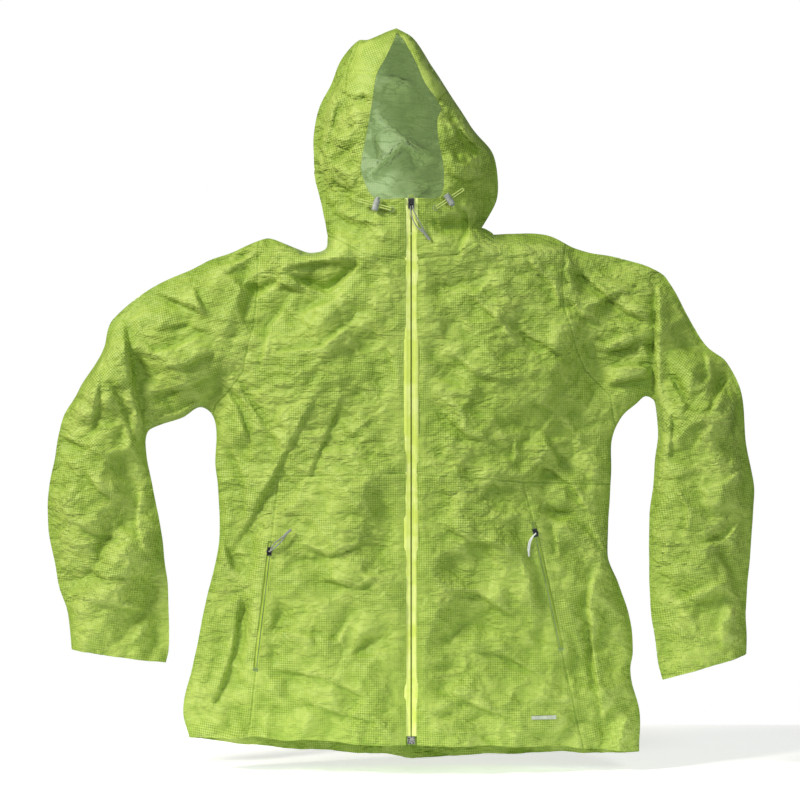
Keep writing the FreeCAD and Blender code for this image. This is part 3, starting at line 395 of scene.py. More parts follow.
def turned(points, degrees, stretch):
    """Points in axes along and across a direction, with the direction drawn out."""
    angle = math.radians(degrees)
    along = points @ np.array([math.cos(angle), math.sin(angle)])
    across = points @ np.array([-math.sin(angle), math.cos(angle)])
    return np.stack([along / stretch, across], 1)


def smooth_step(value, low, high):
    """0 below low, 1 above high, and a smooth rise between them."""
    share = np.clip((value - low) / (high - low), 0, 1)
    return share * share * (3 - 2 * share)


# Facet size and height, mm: from the broad planes down to small creases.
CRUMPLE = ((88, 7.5), (50, 4.2), (29, 1.7), (17, 0.75), (10, 0.35))
# The two sets of facets: seed's shift and lean in degrees.
LEANINGS = ((0, 38), (3, -42))
# Distance between the thin ridges and their height, mm.
CREASING = ((62, 2.6), (30, 1.3))


def leaning_facets(points, size, seed, degrees):
    """Facets drawn out along a direction that leans by some degrees."""
    return facets(turned(warped(points, size, seed), degrees, 1.7), size * 0.75, seed + 1)


def crumple(points, seed):
    """Height of crumpled cloth, mm: facets at several sizes, drawn out along two leaning directions."""
    height = np.zeros(len(points))
    for number, (size, lift) in enumerate(CRUMPLE):
        lean = smooth_step(swell(points, 3.1 * size, seed + number), -0.25, 0.25)
        one, two = (leaning_facets(points, size, seed + 10 * number + shift, degrees)
                    for shift, degrees in LEANINGS)
        height += lift * (lean * one + (1 - lean) * two)
    for number, (size, lift) in enumerate(CREASING):
        leaning = turned(warped(points, size, seed + 70 + number), 50 - 95 * number, 1.8)
        field = swell(leaning, size, seed + 80 + number)
        height += lift * (0.35 - np.abs(field)) * 1.6
    return height


# ---------------------------------------------------------------------------- polylines

def resampled(line, step):
    """Points along a line about a step apart, with its corners kept."""
    found = [np.array(line[0], float)]
    for start, end in zip(line, line[1:]):
        start, end = np.array(start, float), np.array(end, float)
        count = max(1, round(np.linalg.norm(end - start) / step))
        found += [start + (end - start) * n / count for n in range(1, count + 1)]
    return np.array(found)


def beside(points, line):
    """Distance to a line with its sign, positive on its left, and the place along it from 0 to its length."""
    best = np.full(len(points), 1e9)
    place = np.zeros(len(points))
    sign = np.ones(len(points))
    run = 0.0
    for start, end in zip(line, line[1:]):
        start, end = np.array(start, float), np.array(end, float)
        along = end - start
        length = np.linalg.norm(along)
        away = points - start
        share = np.clip(away @ along / length ** 2, 0, 1)
        gap = np.linalg.norm(away - share[:, None] * along, axis=1)
        nearer = gap < best
        best = np.where(nearer, gap, best)
        place = np.where(nearer, run + share * length, place)
        sign = np.where(nearer, np.sign(along[0] * away[:, 1] - along[1] * away[:, 0]), sign)
        run += length
    return best * np.where(sign < 0, -1, 1), place, run


def inside(points, outline):
    """True for each point inside a closed outline."""
    found = np.zeros(len(points), bool)
    x, z = points.T
    for (ax, az), (bx, bz) in zip(outline, outline[1:] + outline[:1]):
        if az == bz:
            continue
        crosses = (az > z) != (bz > z)
        found ^= crosses & (x < (bx - ax) * (z - az) / (bz - az) + ax)
    return found


def relief(points, folds):
    """Height of the folds, mm."""
    height = np.zeros(len(points))
    for line, left, left_reach, right, right_reach in folds:
        reach = 4 * max(left_reach, right_reach)
        corners = np.array(line)
        near = np.all((points > corners.min(0) - reach) & (points < corners.max(0) + reach), axis=1)
        gap, place, length = beside(points[near], line)
        fade = smooth_step(np.minimum(place, length - place), 0, 0.28 * length)
        # past an end of the line the place stays at 0 or at its length, so the fade is 0 there
        side = 1 / (1 + np.exp(-gap / 1.1))
        rise = left * np.exp(-np.abs(gap) / left_reach) * side
        drop = right * np.exp(-np.abs(gap) / right_reach) * (1 - side)
        height[near] += (rise + drop) * fade
    return height


# ---------------------------------------------------------------------------- sheets

class Sheet:
    """One face of the jacket: points in the x-z plane with a depth y each, all in mm, and triangles."""

    def __init__(self, outline, holes, zones, seams, spacing, crease_step, seed):
        """Fill the outline, less its holes, with triangles whose edges run along it and between the zones."""
        self.seams = seams
        lines = [(outline + outline[:1], crease_step)]
        lines += [(hole + hole[:1], spacing) for hole in holes]
        lines += [(corners + corners[:1], spacing) for name, corners in zones]
        fixed, edges = self.constraints(lines)
        filling = self.filling(outline, fixed, spacing, seed)
        points = [Vector(p) for p in np.concatenate([fixed, filling])]
        found = delaunay_2d_cdt(points, edges, [], 0, 1e-4)
        self.points = np.array([(p.x, p.y) for p in found[0]])
        faces = np.array([f for f in found[2] if len(f) == 3])
        middle = self.points[faces].mean(1)
        keep = inside(middle, outline)
        for hole in holes:
            keep &= ~inside(middle, hole)
        self.faces, middle = faces[keep], middle[keep]
        self.labels = np.full(len(self.faces), -1)
        self.names = [name for name, corners in zones]
        for number, (name, corners) in enumerate(zones):
            self.labels[(self.labels < 0) & inside(middle, corners)] = number
        self.pairs = np.unique(np.sort(np.concatenate([self.faces[:, [0, 1]], self.faces[:, [1, 2]],
                                                       self.faces[:, [2, 0]]]), axis=1), axis=0)
        self.degree = np.bincount(self.pairs.ravel(), minlength=len(self.points)).clip(1)

    @staticmethod
    def constraints(lines):
        """The points and edges of all lines, with points that several lines share held once."""
        numbers, fixed, edges = {}, [], set()
        for line, step in lines:
            previous = None
            for point in resampled(line, step):
                key = (round(point[0], 1), round(point[1], 1))
                if key not in numbers:
                    numbers[key] = len(fixed)
                    fixed.append(point)
                number = numbers[key]
                if previous is not None and previous != number:
                    edges.add((min(previous, number), max(previous, number)))
                previous = number
        return np.array(fixed), sorted(edges)

    @staticmethod
    def filling(outline, fixed, spacing, seed):
        """A jittered triangular grid of points inside the outline, clear of the fixed ones."""
        corners = np.array(outline, float)
        low, high = corners.min(0), corners.max(0)
        rise = spacing * math.sqrt(3) / 2
        columns, rows = np.arange(low[0], high[0], spacing), np.arange(low[1], high[1], rise)
        x, z = np.meshgrid(columns, rows)
        x = x + (np.arange(len(rows)) % 2)[:, None] * spacing / 2
        grid = np.stack([x.ravel(), z.ravel()], 1)
        grid += np.random.default_rng(seed).uniform(-0.22, 0.22, grid.shape) * spacing
        grid = grid[inside(grid, outline)]
        tree = KDTree(len(fixed))
        for number, (px, pz) in enumerate(fixed):
            tree.insert((px, pz, 0), number)
        tree.balance()
        clear = [tree.find((px, pz, 0))[2] > 0.62 * spacing for px, pz in grid]
        return grid[clear]

    def averaged(self, values):
        """The mean of each point's neighbours."""
        a, b = self.pairs.T
        count = len(self.points)
        total = np.bincount(a, values[b], count) + np.bincount(b, values[a], count)
        return total / self.degree

    def used(self):
        """True for the points that some triangle uses."""
        found = np.zeros(len(self.points), bool)
        found[self.faces.ravel()] = True
        return found

    def distance_to(self, lines, step=3.0):
        """Distance of each point to the nearest of some lines, mm."""
        samples = np.concatenate([resampled(line, step) for line in lines])
        tree = KDTree(len(samples))
        for number, (px, pz) in enumerate(samples):
            tree.insert((px, pz, 0), number)
        tree.balance()
        return np.array([tree.find((px, pz, 0))[2] for px, pz in self.points])

    def settle(self, target, known, fixed, hold, rounds):
        """Depths that follow the known targets but run smoothly, with some points fixed."""
        depth = target.copy()
        weight = np.where(known, hold, 0.0)
        for _ in range(rounds):
            mean = self.averaged(depth)
            new = (weight * target + mean) / (weight + 1)
            depth = np.where(fixed, target, new)
        return depth


# ---------------------------------------------------------------------------- depth from the CAD cloth

HARDWARE = ("zip", "pocket", "cord", "lock", "button", "eyelet", "mark", "chin", "loop", "channel", "facing")


def cloth_tree():
    """One search tree over the CAD panels that the sheets stand for."""
    points, polygons = [], []
    for name, node in frame["nodes"].items():
        if any(word in name for word in HARDWARE):
            continue
        start = len(points)
        points += [v.co.copy() for v in node.data.vertices]
        polygons += [[start + v for v in p.vertices] for p in node.data.polygons]
    return BVHTree.FromPolygons(points, polygons)


HOOD_CREASE_DEPTH = 10


def crease_depth(points):
    """Depth of the side creases, mm: 0 on the body and the sleeves, a little further back on the hood."""
    return HOOD_CREASE_DEPTH * smooth_step(points[:, 1], 745, 800) + 2.5 * swell(points, 42, 7)


def cad_depth(sheet, tree, sign):
    """Depth of the CAD cloth at each point, mm, seen from the front (sign -1) or the back (sign 1)."""
    depth = np.zeros(len(sheet.points))
    known = np.zeros(len(sheet.points), bool)
    level = crease_depth(sheet.points)
    start_y = sign * 0.5
    for number, (x, z) in enumerate(sheet.points):
        hit = tree.ray_cast(Vector((x * MM, start_y, z * MM)), Vector((0, -sign, 0)))[0]
        if hit is not None and (hit.y / MM - level[number]) * sign > 2:
            depth[number], known[number] = hit.y / MM, True
    return depth, known


def at_crease(sheet):
    """True for the points on the side creases."""
    return sheet.distance_to(CREASES, 1.0) < 0.6


def sheet_depth(sheet, tree, sign, hardware):
    """Depth of a sheet without folds: smoothed CAD cloth, which it follows closely near the hardware."""
    target, known = cad_depth(sheet, tree, sign)
    crease = at_crease(sheet)
    target = np.where(crease, crease_depth(sheet.points), target)
    first = sheet.settle(target, known, crease, 4.0, 160)
    firm = 0.12 + 3.0 * np.exp(-sheet.distance_to(hardware) / 9)
    return sheet.settle(np.where(crease, target, first), known, crease, firm, 40), crease


def pocket_slot(line):
    """Outline of the opening along a pocket zip."""
    top, low = np.array(line[1], float), np.array(line[2], float)
    along = (low - top) / np.linalg.norm(low - top)
    across = np.array([-along[1], along[0]]) * POCKET_HALF
    end = top + along * POCKET_LENGTH
    return tuple(map(tuple, (top + across, end + across, end - across, top - across)))


FRONT_OUTLINE = (HOOD_EDGE_LEFT + OUTER_LEFT + INNER_LEFT + FRONT_HEM + INNER_RIGHT + OUTER_RIGHT
                 + HOOD_EDGE_RIGHT[:-1])
BACK_OUTLINE = (HOOD_EDGE_LEFT + OUTER_LEFT + INNER_LEFT + BACK_HEM + INNER_RIGHT + OUTER_RIGHT
                + HOOD_EDGE_RIGHT[:-1])
# Distance between a sheet's points, mm.
FRONT_SPACING = 3.3
# How far the cloth sinks beside the zip and under the hood's cord locks, mm.
ZIP_DIP = 1.8
CORD_DIP = 1.6
# Where the cord locks slide and where the reflective bar lies; both reach this far to each side.
HOOD_CORD_LINES = (((32, 744), (65, 767)), ((-26, 742), (-64, 753)))
MARK_LINE = ((162, 65), (192, 65))
TRIM_REACH = 4
# The cloth stays calm this far beyond a trim, past the edge of a pocket's tape.
TRIM_MARGIN = 5
BACK_SPACING = 5.0
# How strongly the crumple and the listed folds show on each sheet, and how far the brim stands up, mm.
FRONT_CRUMPLE, FRONT_FOLDING = 1.7, 1.3
BACK_CRUMPLE, HOOD_FOLDING = 1.6, 4.0
BRIM_RISE = 1.4


def seam_marks(sheet):
    """Distance to the nearest seam and the place along it, both in metres."""
    nearest = np.full(len(sheet.points), 1e3)
    place = np.zeros(len(sheet.points))
    for line in sheet.seams:
        gap, along, _ = beside(sheet.points, line)
        nearer = np.abs(gap) < nearest
        nearest = np.where(nearer, np.abs(gap), nearest)
        place = np.where(nearer, along, place)
    return nearest * MM, place * MM


def spread(sheet, start, edge, calm_gap):
    """Push the outline about a little, in metres, so that the edges wander like cloth."""
    reach = 0.3 + 1.6 * (1 - smooth_step(edge, 0, 30))
    reach *= smooth_step(calm_gap, 0, 30)
    for axis, seed in ((0, 31), (2, 32)):
        start[:, axis] += swell(sheet.points, 34, seed) * reach * MM


GROWTH = 0.012
SIM_FRAMES = 12
# The cloth solver's settings: stiff to stretching, limp to bending, and damped so that it comes to rest.
CLOTH_SETTINGS = {
    "quality": 3, "mass": 0.06, "tension_stiffness": 25, "compression_stiffness": 25, "shear_stiffness": 10,
    "bending_stiffness": 0.03, "tension_damping": 6, "compression_damping": 6, "shear_damping": 6,
    "bending_damping": 0.3, "air_damping": 2, "shrink_min": -GROWTH, "vertex_group_mass": "hold",
    "pin_stiffness": 1,
}


def buckled(sheet, start, hold):
    """Places of the points once the cloth, a little longer than its shape, has buckled between its holds.

    The cloth solver grows every edge by GROWTH while soft springs pull each point back to its start, as
    strongly as its hold says; points with a hold of 1 stay where they are.
    """
    used = np.flatnonzero(sheet.used())
    numbers = np.full(len(sheet.points), -1)
    numbers[used] = np.arange(len(used))
    mesh = bpy.data.meshes.new("buckling")
    mesh.from_pydata(start[used].tolist(), [], numbers[sheet.faces].tolist())
    cloth = bpy.data.objects.new("buckling", mesh)
    bpy.context.scene.collection.objects.link(cloth)
    group = cloth.vertex_groups.new(name="hold")
    levels = np.round(hold[used], 2)
    for level in np.unique(levels):
        group.add(np.flatnonzero(levels == level).tolist(), float(level), "REPLACE")
    modifier = cloth.modifiers.new("buckling", "CLOTH")
    settings = modifier.settings
    for setting, value in CLOTH_SETTINGS.items():
        setattr(settings, setting, value)
    settings.effector_weights.gravity = 0
    modifier.collision_settings.use_collision = False
    modifier.point_cache.frame_start = 1
    modifier.point_cache.frame_end = SIM_FRAMES
    for frame_number in range(1, SIM_FRAMES + 1):
        bpy.context.scene.frame_set(frame_number)
    result = cloth.evaluated_get(bpy.context.evaluated_depsgraph_get()).data
    places = np.zeros(len(result.vertices) * 3, np.float32)
    result.vertices.foreach_get("co", places)
    bpy.context.scene.frame_set(1)
    bpy.data.objects.remove(cloth)
    bpy.data.meshes.remove(mesh)
    settled = start.copy()
    settled[used] = places.reshape(-1, 3)
    return settled


def front_sheet(tree):
    """The front: crumpled cloth with its folds, quieter at the zip, the creases, the brim and the trims."""
    slots = [pocket_slot(POCKET_LEFT), pocket_slot(POCKET_RIGHT)]
    holes = [FACE_OPENING, ZIP_WINDOW] + slots
    sheet = Sheet(FRONT_OUTLINE, holes, front_zones(), FRONT_SEAMS, FRONT_SPACING, CREASE_STEP, 3)
    slots = [slot + slot[:1] for slot in slots]
    trims = HOOD_CORD_LINES + (MARK_LINE,)
    sheet.depth, crease = sheet_depth(sheet, tree, -1, slots + [ZIP_WINDOW] + list(trims))
    points = sheet.points
    edge = sheet.distance_to(CREASES)
    zip_gap = np.abs(points[:, 0]) - ZIP_HALF + 100 * (points[:, 1] > 750)
    zip_calm = smooth_step(zip_gap, 0, 40)
    opening = sheet.distance_to([FACE_OPENING + FACE_OPENING[:1]])
    pockets = sheet.distance_to(slots)
    brim = inside(points, BRIM)
    calm = (0.2 + 0.8 * zip_calm) * (0.3 + 0.7 * smooth_step(edge, 2, 26))
    cords = sheet.distance_to(HOOD_CORD_LINES) - TRIM_REACH
    trim = np.minimum(pockets, sheet.distance_to(trims) - TRIM_REACH) - TRIM_MARGIN
    calm *= 0.08 + 0.92 * smooth_step(trim, 0, 18)
    calm *= np.where(brim, 0.2, 0.5 + 0.5 * smooth_step(opening, 0, 16))
    height = FRONT_CRUMPLE * crumple(points, 11) * calm
    folds = FRONT_FOLDING * relief(points, FRONT_FOLDS) * np.where(brim, 0.2, 1) * (0.3 + 0.7 * zip_calm)
    folds *= smooth_step(edge, 0, 10) * smooth_step(trim, -2, 12)
    seam, place = seam_marks(sheet)
    groove = -0.9 * np.exp(-(seam / MM / 1.7) ** 2) + 0.5 * np.exp(-((seam / MM - 5) / 2.6) ** 2)
    dip = -ZIP_DIP * (1 - smooth_step(zip_gap, 0, 12)) - CORD_DIP * (1 - smooth_step(cords, 0, 10))
    height = np.where(crease, 0, height + folds + groove + dip) + np.where(brim, BRIM_RISE, 0)
    start = np.stack([points[:, 0], sheet.depth - height, points[:, 1]], 1) * MM
    spread(sheet, start, sheet.distance_to(CREASES + (FRONT_HEM,)), np.minimum(zip_gap, pockets))
    hold = 0.38 + 0.5 * np.exp(-edge / 5)
    hold = np.maximum(hold, 0.9 - 0.45 * smooth_step(zip_gap, 0, 14))
    hold = np.maximum(hold, 0.9 - 0.4 * smooth_step(trim, 0, 8))
    hold = np.maximum(hold, 0.66 - 0.2 * smooth_step(seam / MM, 0, 6))
    hold = np.where(brim | (opening < 2), 0.85, hold)
    hold = np.where(crease | (zip_gap < 0.5) | (pockets < 0.5), 1, hold)
    sheet.places = buckled(sheet, start, hold)
    sheet.crinkle = np.where(brim, 0.12, 0.6 + 0.4 * zip_calm) * (0.85 + 0.35 * swell(points, 60, 41))
    sheet.seam, sheet.place = seam, place
    return sheet


def back_sheet(tree):
    """The back: the same cloth, and behind the face opening the folds of the hood's lining."""
    sheet = Sheet(BACK_OUTLINE, [], back_zones(), BACK_SEAMS, BACK_SPACING, CREASE_STEP, 5)
    sheet.depth, crease = sheet_depth(sheet, tree, 1, [BACK_HEM])
    points = sheet.points
    edge = sheet.distance_to(CREASES)
    height = BACK_CRUMPLE * crumple(points, 211) * (0.3 + 0.7 * smooth_step(edge, 2, 26))
    height *= np.where(inside(points, FACE_OPENING), 0.6, 1)
    height += relief(points, BACK_FOLDS) * smooth_step(edge, 0, 10)
    height -= HOOD_FOLDING * relief(points, HOOD_FOLDS)
    seam, place = seam_marks(sheet)
    height -= 0.9 * np.exp(-(seam / MM / 2.4) ** 2)
    start = np.stack([points[:, 0], sheet.depth + np.where(crease, 0, height), points[:, 1]], 1) * MM
    spread(sheet, start, sheet.distance_to(CREASES + (BACK_HEM,)), np.full(len(points), 100.0))
    hold = np.where(crease, 1, 0.42 + 0.45 * np.exp(-edge / 5))
    sheet.places = buckled(sheet, start, hold)
    sheet.crinkle = 0.85 + 0.35 * swell(points, 60, 42)
    sheet.seam, sheet.place = seam, place
    return sheet


# Least gap between front and back: its rise for each mm from a crease, and its most, mm.
GAP_SLOPE, GAP_MOST = 0.3, 4.0


def keep_apart(front, back):
    """Move the front forward where a fold would sink it into the back; the gap grows from the creases."""
    tree = BVHTree.FromPolygons(back.places.tolist(), back.faces.tolist())
    gap = np.minimum(GAP_SLOPE * front.distance_to(CREASES), GAP_MOST) * MM
    for number in np.flatnonzero(front.used()):
        x, y, z = front.places[number]
        hit = tree.ray_cast(Vector((x, -0.5, z)), Vector((0, 1, 0)))[0]
        if hit is not None:
            front.places[number, 1] = min(y, hit.y - gap[number])


# How far the cloth may stand out of the CAD's box before it is bent back, and how far at most, mm.
BOX_KNEE, BOX_MOST = 4.0, 11.0


def keep_in_box(sheet, sign):
    """Bend back softly the cloth that would stand far out of the CAD's box, in front or behind."""
    face = (cad_high[1] if sign > 0 else cad_low[1]) / MM
    depth = sheet.places[:, 1] / MM
    over = ((depth - face) * sign - BOX_KNEE).clip(0)
    room = BOX_MOST - BOX_KNEE
    sheet.places[:, 1] = (depth - sign * (over - room * np.tanh(over / room))) * MM


def finish_sheet(sheet, sign):
    """Turn the triangles outwards; find the normals and what the materials read."""
    a, b, c = (sheet.places[sheet.faces[:, k]] for k in range(3))
    across = np.cross(b - a, c - a)
    flat = sheet.points[sheet.faces]
    one, two = flat[:, 1] - flat[:, 0], flat[:, 2] - flat[:, 0]
    turn_over = (one[:, 0] * two[:, 1] - one[:, 1] * two[:, 0]) * sign > 0
    sheet.faces[turn_over] = sheet.faces[turn_over][:, ::-1]
    across[turn_over] *= -1
    normals = np.zeros_like(sheet.places)
    for k in range(3):
        for axis in range(3):
            normals[:, axis] += np.bincount(sheet.faces[:, k], across[:, axis], len(normals))
    sheet.normals = normals / np.linalg.norm(normals, axis=1, keepdims=True).clip(1e-12)
    height = sheet.places[:, 1] * sign / MM
    smooth = height.copy()
    for _ in range(12):
        smooth = sheet.averaged(smooth)
    # the crest drives the painted highlight on raised cloth and the painted shade in its hollows
    sheet.crest = np.clip((height - smooth) / 3, -1, 1)
    sheet.inset = 0.1 + 0.9 * smooth_step(sheet.distance_to(CREASES), 0, 12)


# ---------------------------------------------------------------------------- pieces of cloth

# Thickness of the shell and of the doubled brim, m.
CLOTH = 0.0005
BRIM_CLOTH = 0.0014
# How far the threads of a piece lean, degrees; the pieces that aren't named have them upright.
GRAIN = {"upper_sleeve_left": 80, "armhole_gusset_left": 80, "elbow_panel_left": 55, "lower_sleeve_left": 8,
         "upper_sleeve_right": -75, "armhole_gusset_right": -75, "elbow_panel_right": -50,
         "lower_sleeve_right": -8, "hood_brim": 20, "hood_side_left": -14, "hood_side_right": 12,
         "front_upper_left": 1, "front_upper_right": -2, "side_panel_left": 8, "side_panel_right": -6}


def weave_places(points, name):
    """Coordinates along the threads of a piece, in metres: its own lean, and a slight drift."""
    drift = np.stack([swell(points, 70, 61), swell(points, 70, 62)], 1) * 1.6
    turn = turned(points + drift, GRAIN.get(name, 0), 1.0) * MM
    return np.concatenate([turn, np.zeros((len(turn), 1))], 1)


def cloth_part(sheet, chosen, name, thickness, sunk=0.0):
    """Points, faces and marks of some of a sheet's triangles, as a thin closed slab below its surface."""
    faces = sheet.faces[chosen]
    numbers, local = np.unique(faces, return_inverse=True)
    local = local.reshape(faces.shape)
    count = len(numbers)
    inward = -sheet.normals[numbers] * sheet.inset[numbers, None]
    outer = sheet.places[numbers] + inward * sunk
    inner = outer + inward * thickness
    ways = np.concatenate([local[:, [0, 1]], local[:, [1, 2]], local[:, [2, 0]]])
    keys = ways[:, 0] * count + ways[:, 1]
    back = ways[:, 1] * count + ways[:, 0]
    rim = ways[~np.isin(keys, back)]
    quads = np.stack([rim[:, 1], rim[:, 0], rim[:, 0] + count, rim[:, 1] + count], 1)
    marks = {"weave": np.tile(weave_places(sheet.points[numbers], name), (2, 1))}
    for mark in ("seam", "place", "crest", "crinkle"):
        marks[mark] = np.tile(getattr(sheet, mark)[numbers], 2)
    all_faces = [local.tolist(), (local[:, ::-1] + count).tolist(), quads.tolist()]
    normals = np.concatenate([sheet.normals[numbers], -sheet.normals[numbers]])
    return np.concatenate([outer, inner]), all_faces, marks, normals


def cloth_piece(name, parts, outside, inside_material):
    """A piece of cloth that stands for one CAD node, from parts made by cloth_part."""
    points, faces, slots, marks, normals, start = [], [], [], [], [], 0
    for part, groups, part_marks, part_normals in parts:
        for number, group in zip((0, 1, 0), groups):
            faces += [[start + v for v in face] for face in group]
            slots += [number] * len(group)
        points.append(part)
        marks.append(part_marks)
        normals.append(part_normals)
        start += len(part)
    mesh = bpy.data.meshes.new(name)
    mesh.from_pydata(np.concatenate(points).tolist(), [], faces)
    mesh.polygons.foreach_set("material_index", slots)
    mesh.polygons.foreach_set("use_smooth", [True] * len(faces))
    for mark in marks[0]:
        values = np.concatenate([part_marks[mark] for part_marks in marks]).astype(np.float32)
        kind = "FLOAT_VECTOR" if values.ndim == 2 else "FLOAT"
        attribute = mesh.attributes.new(mark, kind, "POINT")
        attribute.data.foreach_set("vector" if values.ndim == 2 else "value", values.ravel())
    mesh.normals_split_custom_set_from_vertices(np.concatenate(normals).tolist())
    mesh.materials.append(outside)
    mesh.materials.append(inside_material)
    piece = bpy.data.objects.new(f"{name}_cloth", mesh)
    bpy.context.scene.collection.objects.link(piece)
    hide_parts(name)
    return piece


def outer_pieces(sheets, shell, lining):
    """One piece for every panel of the shell."""
    pieces = {}
    for name in sorted(set(sheets[0].names + sheets[1].names)):
        thickness = BRIM_CLOTH if name == "hood_brim" else CLOTH
        parts = []
        for sheet in sheets:
            chosen = sheet.labels == (sheet.names.index(name) if name in sheet.names else -2)
            if chosen.any():
                parts.append(cloth_part(sheet, chosen, name, thickness))
        pieces[name] = cloth_piece(name, parts, shell, lining)
    return pieces


BAG_OUTLINES = {
    "left": ((152, 350), (158, 325), (205, 120), (176, 108), (52, 118), (52, 330)),
    "right": ((-170, 330), (-176, 300), (-206, 104), (-186, 94), (-60, 104), (-60, 310)),
}
# How far the bags, and the facings and the hem channel, lie below the shell's surface, m.
BAG_SUNK = 0.0022
FACING_SUNK = 0.0011
CHANNEL_HEIGHT = 46


def inner_pieces(sheets, shell, lining):
    """Cloth inside the jacket: pocket bags, cuff facings and the drawcord channel, just under the shell."""
    front, back = sheets
    pieces = {}
    middle = front.points[front.faces].mean(1)
    for side, outline in BAG_OUTLINES.items():
        name = f"pocket_bag_{side}"
        pieces[name] = cloth_piece(name, [cloth_part(front, inside(middle, outline), name, CLOTH, BAG_SUNK)],
                                   lining, lining)
    cuffs = {"left": (OUTER_LEFT[-1], INNER_LEFT[0]), "right": (OUTER_RIGHT[0], INNER_RIGHT[-1])}
    for side, cuff in cuffs.items():
        name, parts = f"cuff_facing_{side}", []
        for sheet in sheets:
            gap = np.abs(beside(sheet.points[sheet.faces].mean(1), cuff)[0])
            chosen = (gap < CUFF_STITCH) & (sheet.labels == sheet.names.index(f"lower_sleeve_{side}"))
            parts.append(cloth_part(sheet, chosen, name, CLOTH, FACING_SUNK))
        pieces[name] = cloth_piece(name, parts, lining, shell)
    middle = back.points[back.faces].mean(1)
    chosen = (middle[:, 1] < CHANNEL_HEIGHT) & (back.labels == back.names.index("back_panel"))
    part = cloth_part(back, chosen, "hem_channel", CLOTH, FACING_SUNK)
    pieces["hem_channel"] = cloth_piece("hem_channel", [part], shell, shell)
    return pieces


# ---------------------------------------------------------------------------- materials

class Nodes:
    """A material's node tree, with short calls to add and join nodes."""

    def __init__(self, name):
        """Start a material with a Principled surface."""
        self.material = bpy.data.materials.new(name)
        self.material.use_nodes = True
        self.tree = self.material.node_tree
        self.surface = self.tree.nodes["Principled BSDF"]

    def add(self, kind, **values):
        """A new node; each value goes to its input, or else to its setting."""
        node = self.tree.nodes.new(kind)
        for key, value in values.items():
            if key in node.inputs:
                node.inputs[key].default_value = value
            else:
                setattr(node, key, value)
        return node

    def join(self, output, target):
        """Link an output to an input."""
        self.tree.links.new(output, target)

    def put(self, value, slot):
        """Give an input a number, a color or another node's output."""
        if isinstance(value, (int, float)):
            slot.default_value = value
        elif isinstance(value, tuple):
            slot.default_value = value + (1,)
        else:
            self.join(value, slot)

    def math(self, operation, a, b=None):
        """Arithmetic on one or two values."""
        node = self.add("ShaderNodeMath", operation=operation)
        self.put(a, node.inputs[0])
        if b is not None:
            self.put(b, node.inputs[1])
        return node.outputs[0]

    def times(self, a, b):
        """Product of two values."""
        return self.math("MULTIPLY", a, b)

    def plus(self, a, b):
        """Sum of two values."""
        return self.math("ADD", a, b)

    def off(self, a, b):
        """How far two values are apart."""
        return self.math("ABSOLUTE", self.math("SUBTRACT", a, b))

    def from_middle(self, value, pitch):
        """How far a value is from the middle of its step of a pitch, as a share of that pitch."""
        return self.off(self.math("FRACT", self.math("DIVIDE", value, pitch)), 0.5)

    def axes(self, where):
        """The x, y and z of coordinates."""
        node = self.add("ShaderNodeSeparateXYZ")
        self.join(where, node.inputs[0])
        return node.outputs

    def ramp(self, value, low, high):
        """value mapped from low..high to 0..1, smoothly."""
        node = self.add("ShaderNodeMapRange", interpolation_type="SMOOTHSTEP")
        self.join(value, node.inputs["Value"])
        node.inputs["From Min"].default_value = low
        node.inputs["From Max"].default_value = high
        return node.outputs["Result"]

    def mix(self, share, a, b):
        """Color a where share is 0, b where it is 1."""
        node = self.add("ShaderNodeMix", data_type="RGBA")
        for number, value in ((0, share), (6, a), (7, b)):
            self.put(value, node.inputs[number])
        return node.outputs[2]

    def tinted(self, color, where, amount, tone):
        """A color moved towards a tone by amount times where."""
        return self.mix(self.times(where, amount), color, tone)

    def noise(self, where, scale, detail=2.0, roughness=0.5):
        """Cloudy noise about 0.5."""
        node = self.add("ShaderNodeTexNoise", Scale=scale, Detail=detail, Roughness=roughness)
        self.join(where, node.inputs["Vector"])
        return node.outputs[0]

    def attribute(self, name, output="Fac"):
        """What the mesh holds under a name."""
        return self.add("ShaderNodeAttribute", attribute_name=name).outputs[output]

    def position(self):
        """Place on the object, in metres."""
        return self.add("ShaderNodeTexCoord").outputs["Object"]

    def bumped(self, height, distance, strength=1.0, after=None):
        """Normals of a height, on top of earlier ones."""
        node = self.add("ShaderNodeBump", Distance=distance, Strength=strength)
        self.join(height, node.inputs["Height"])
        if after is not None:
            self.join(after, node.inputs["Normal"])
        return node.outputs[0]

    def finish(self, color, roughness, normal=None, **values):
        """Set the surface and give back the material."""
        for value, name in ((color, "Base Color"), (roughness, "Roughness"), (normal, "Normal")):
            if value is not None:
                self.put(value, self.surface.inputs[name])
        for name, value in values.items():
            self.surface.inputs[name.replace("_", " ")].default_value = value
        return self.material


# Distance between the ripstop's thick threads, and length of a stitch, m.
RIPSTOP = 0.0030
STITCH = 0.0026
# Depth of the long creases and of the short ones, m.
CREASE_DEPTH = 0.0005
SHORT_CREASE_DEPTH = 0.0004
# Long facets of the crinkled film: lean in degrees, stretch, width in metres, slope and warp.
FACETS = ((38, 2.6, 0.030, 0.34, 0.9), (-40, 2.6, 0.015, 0.34, 0.8), (18, 2.0, 0.0070, 0.36, 0.8))


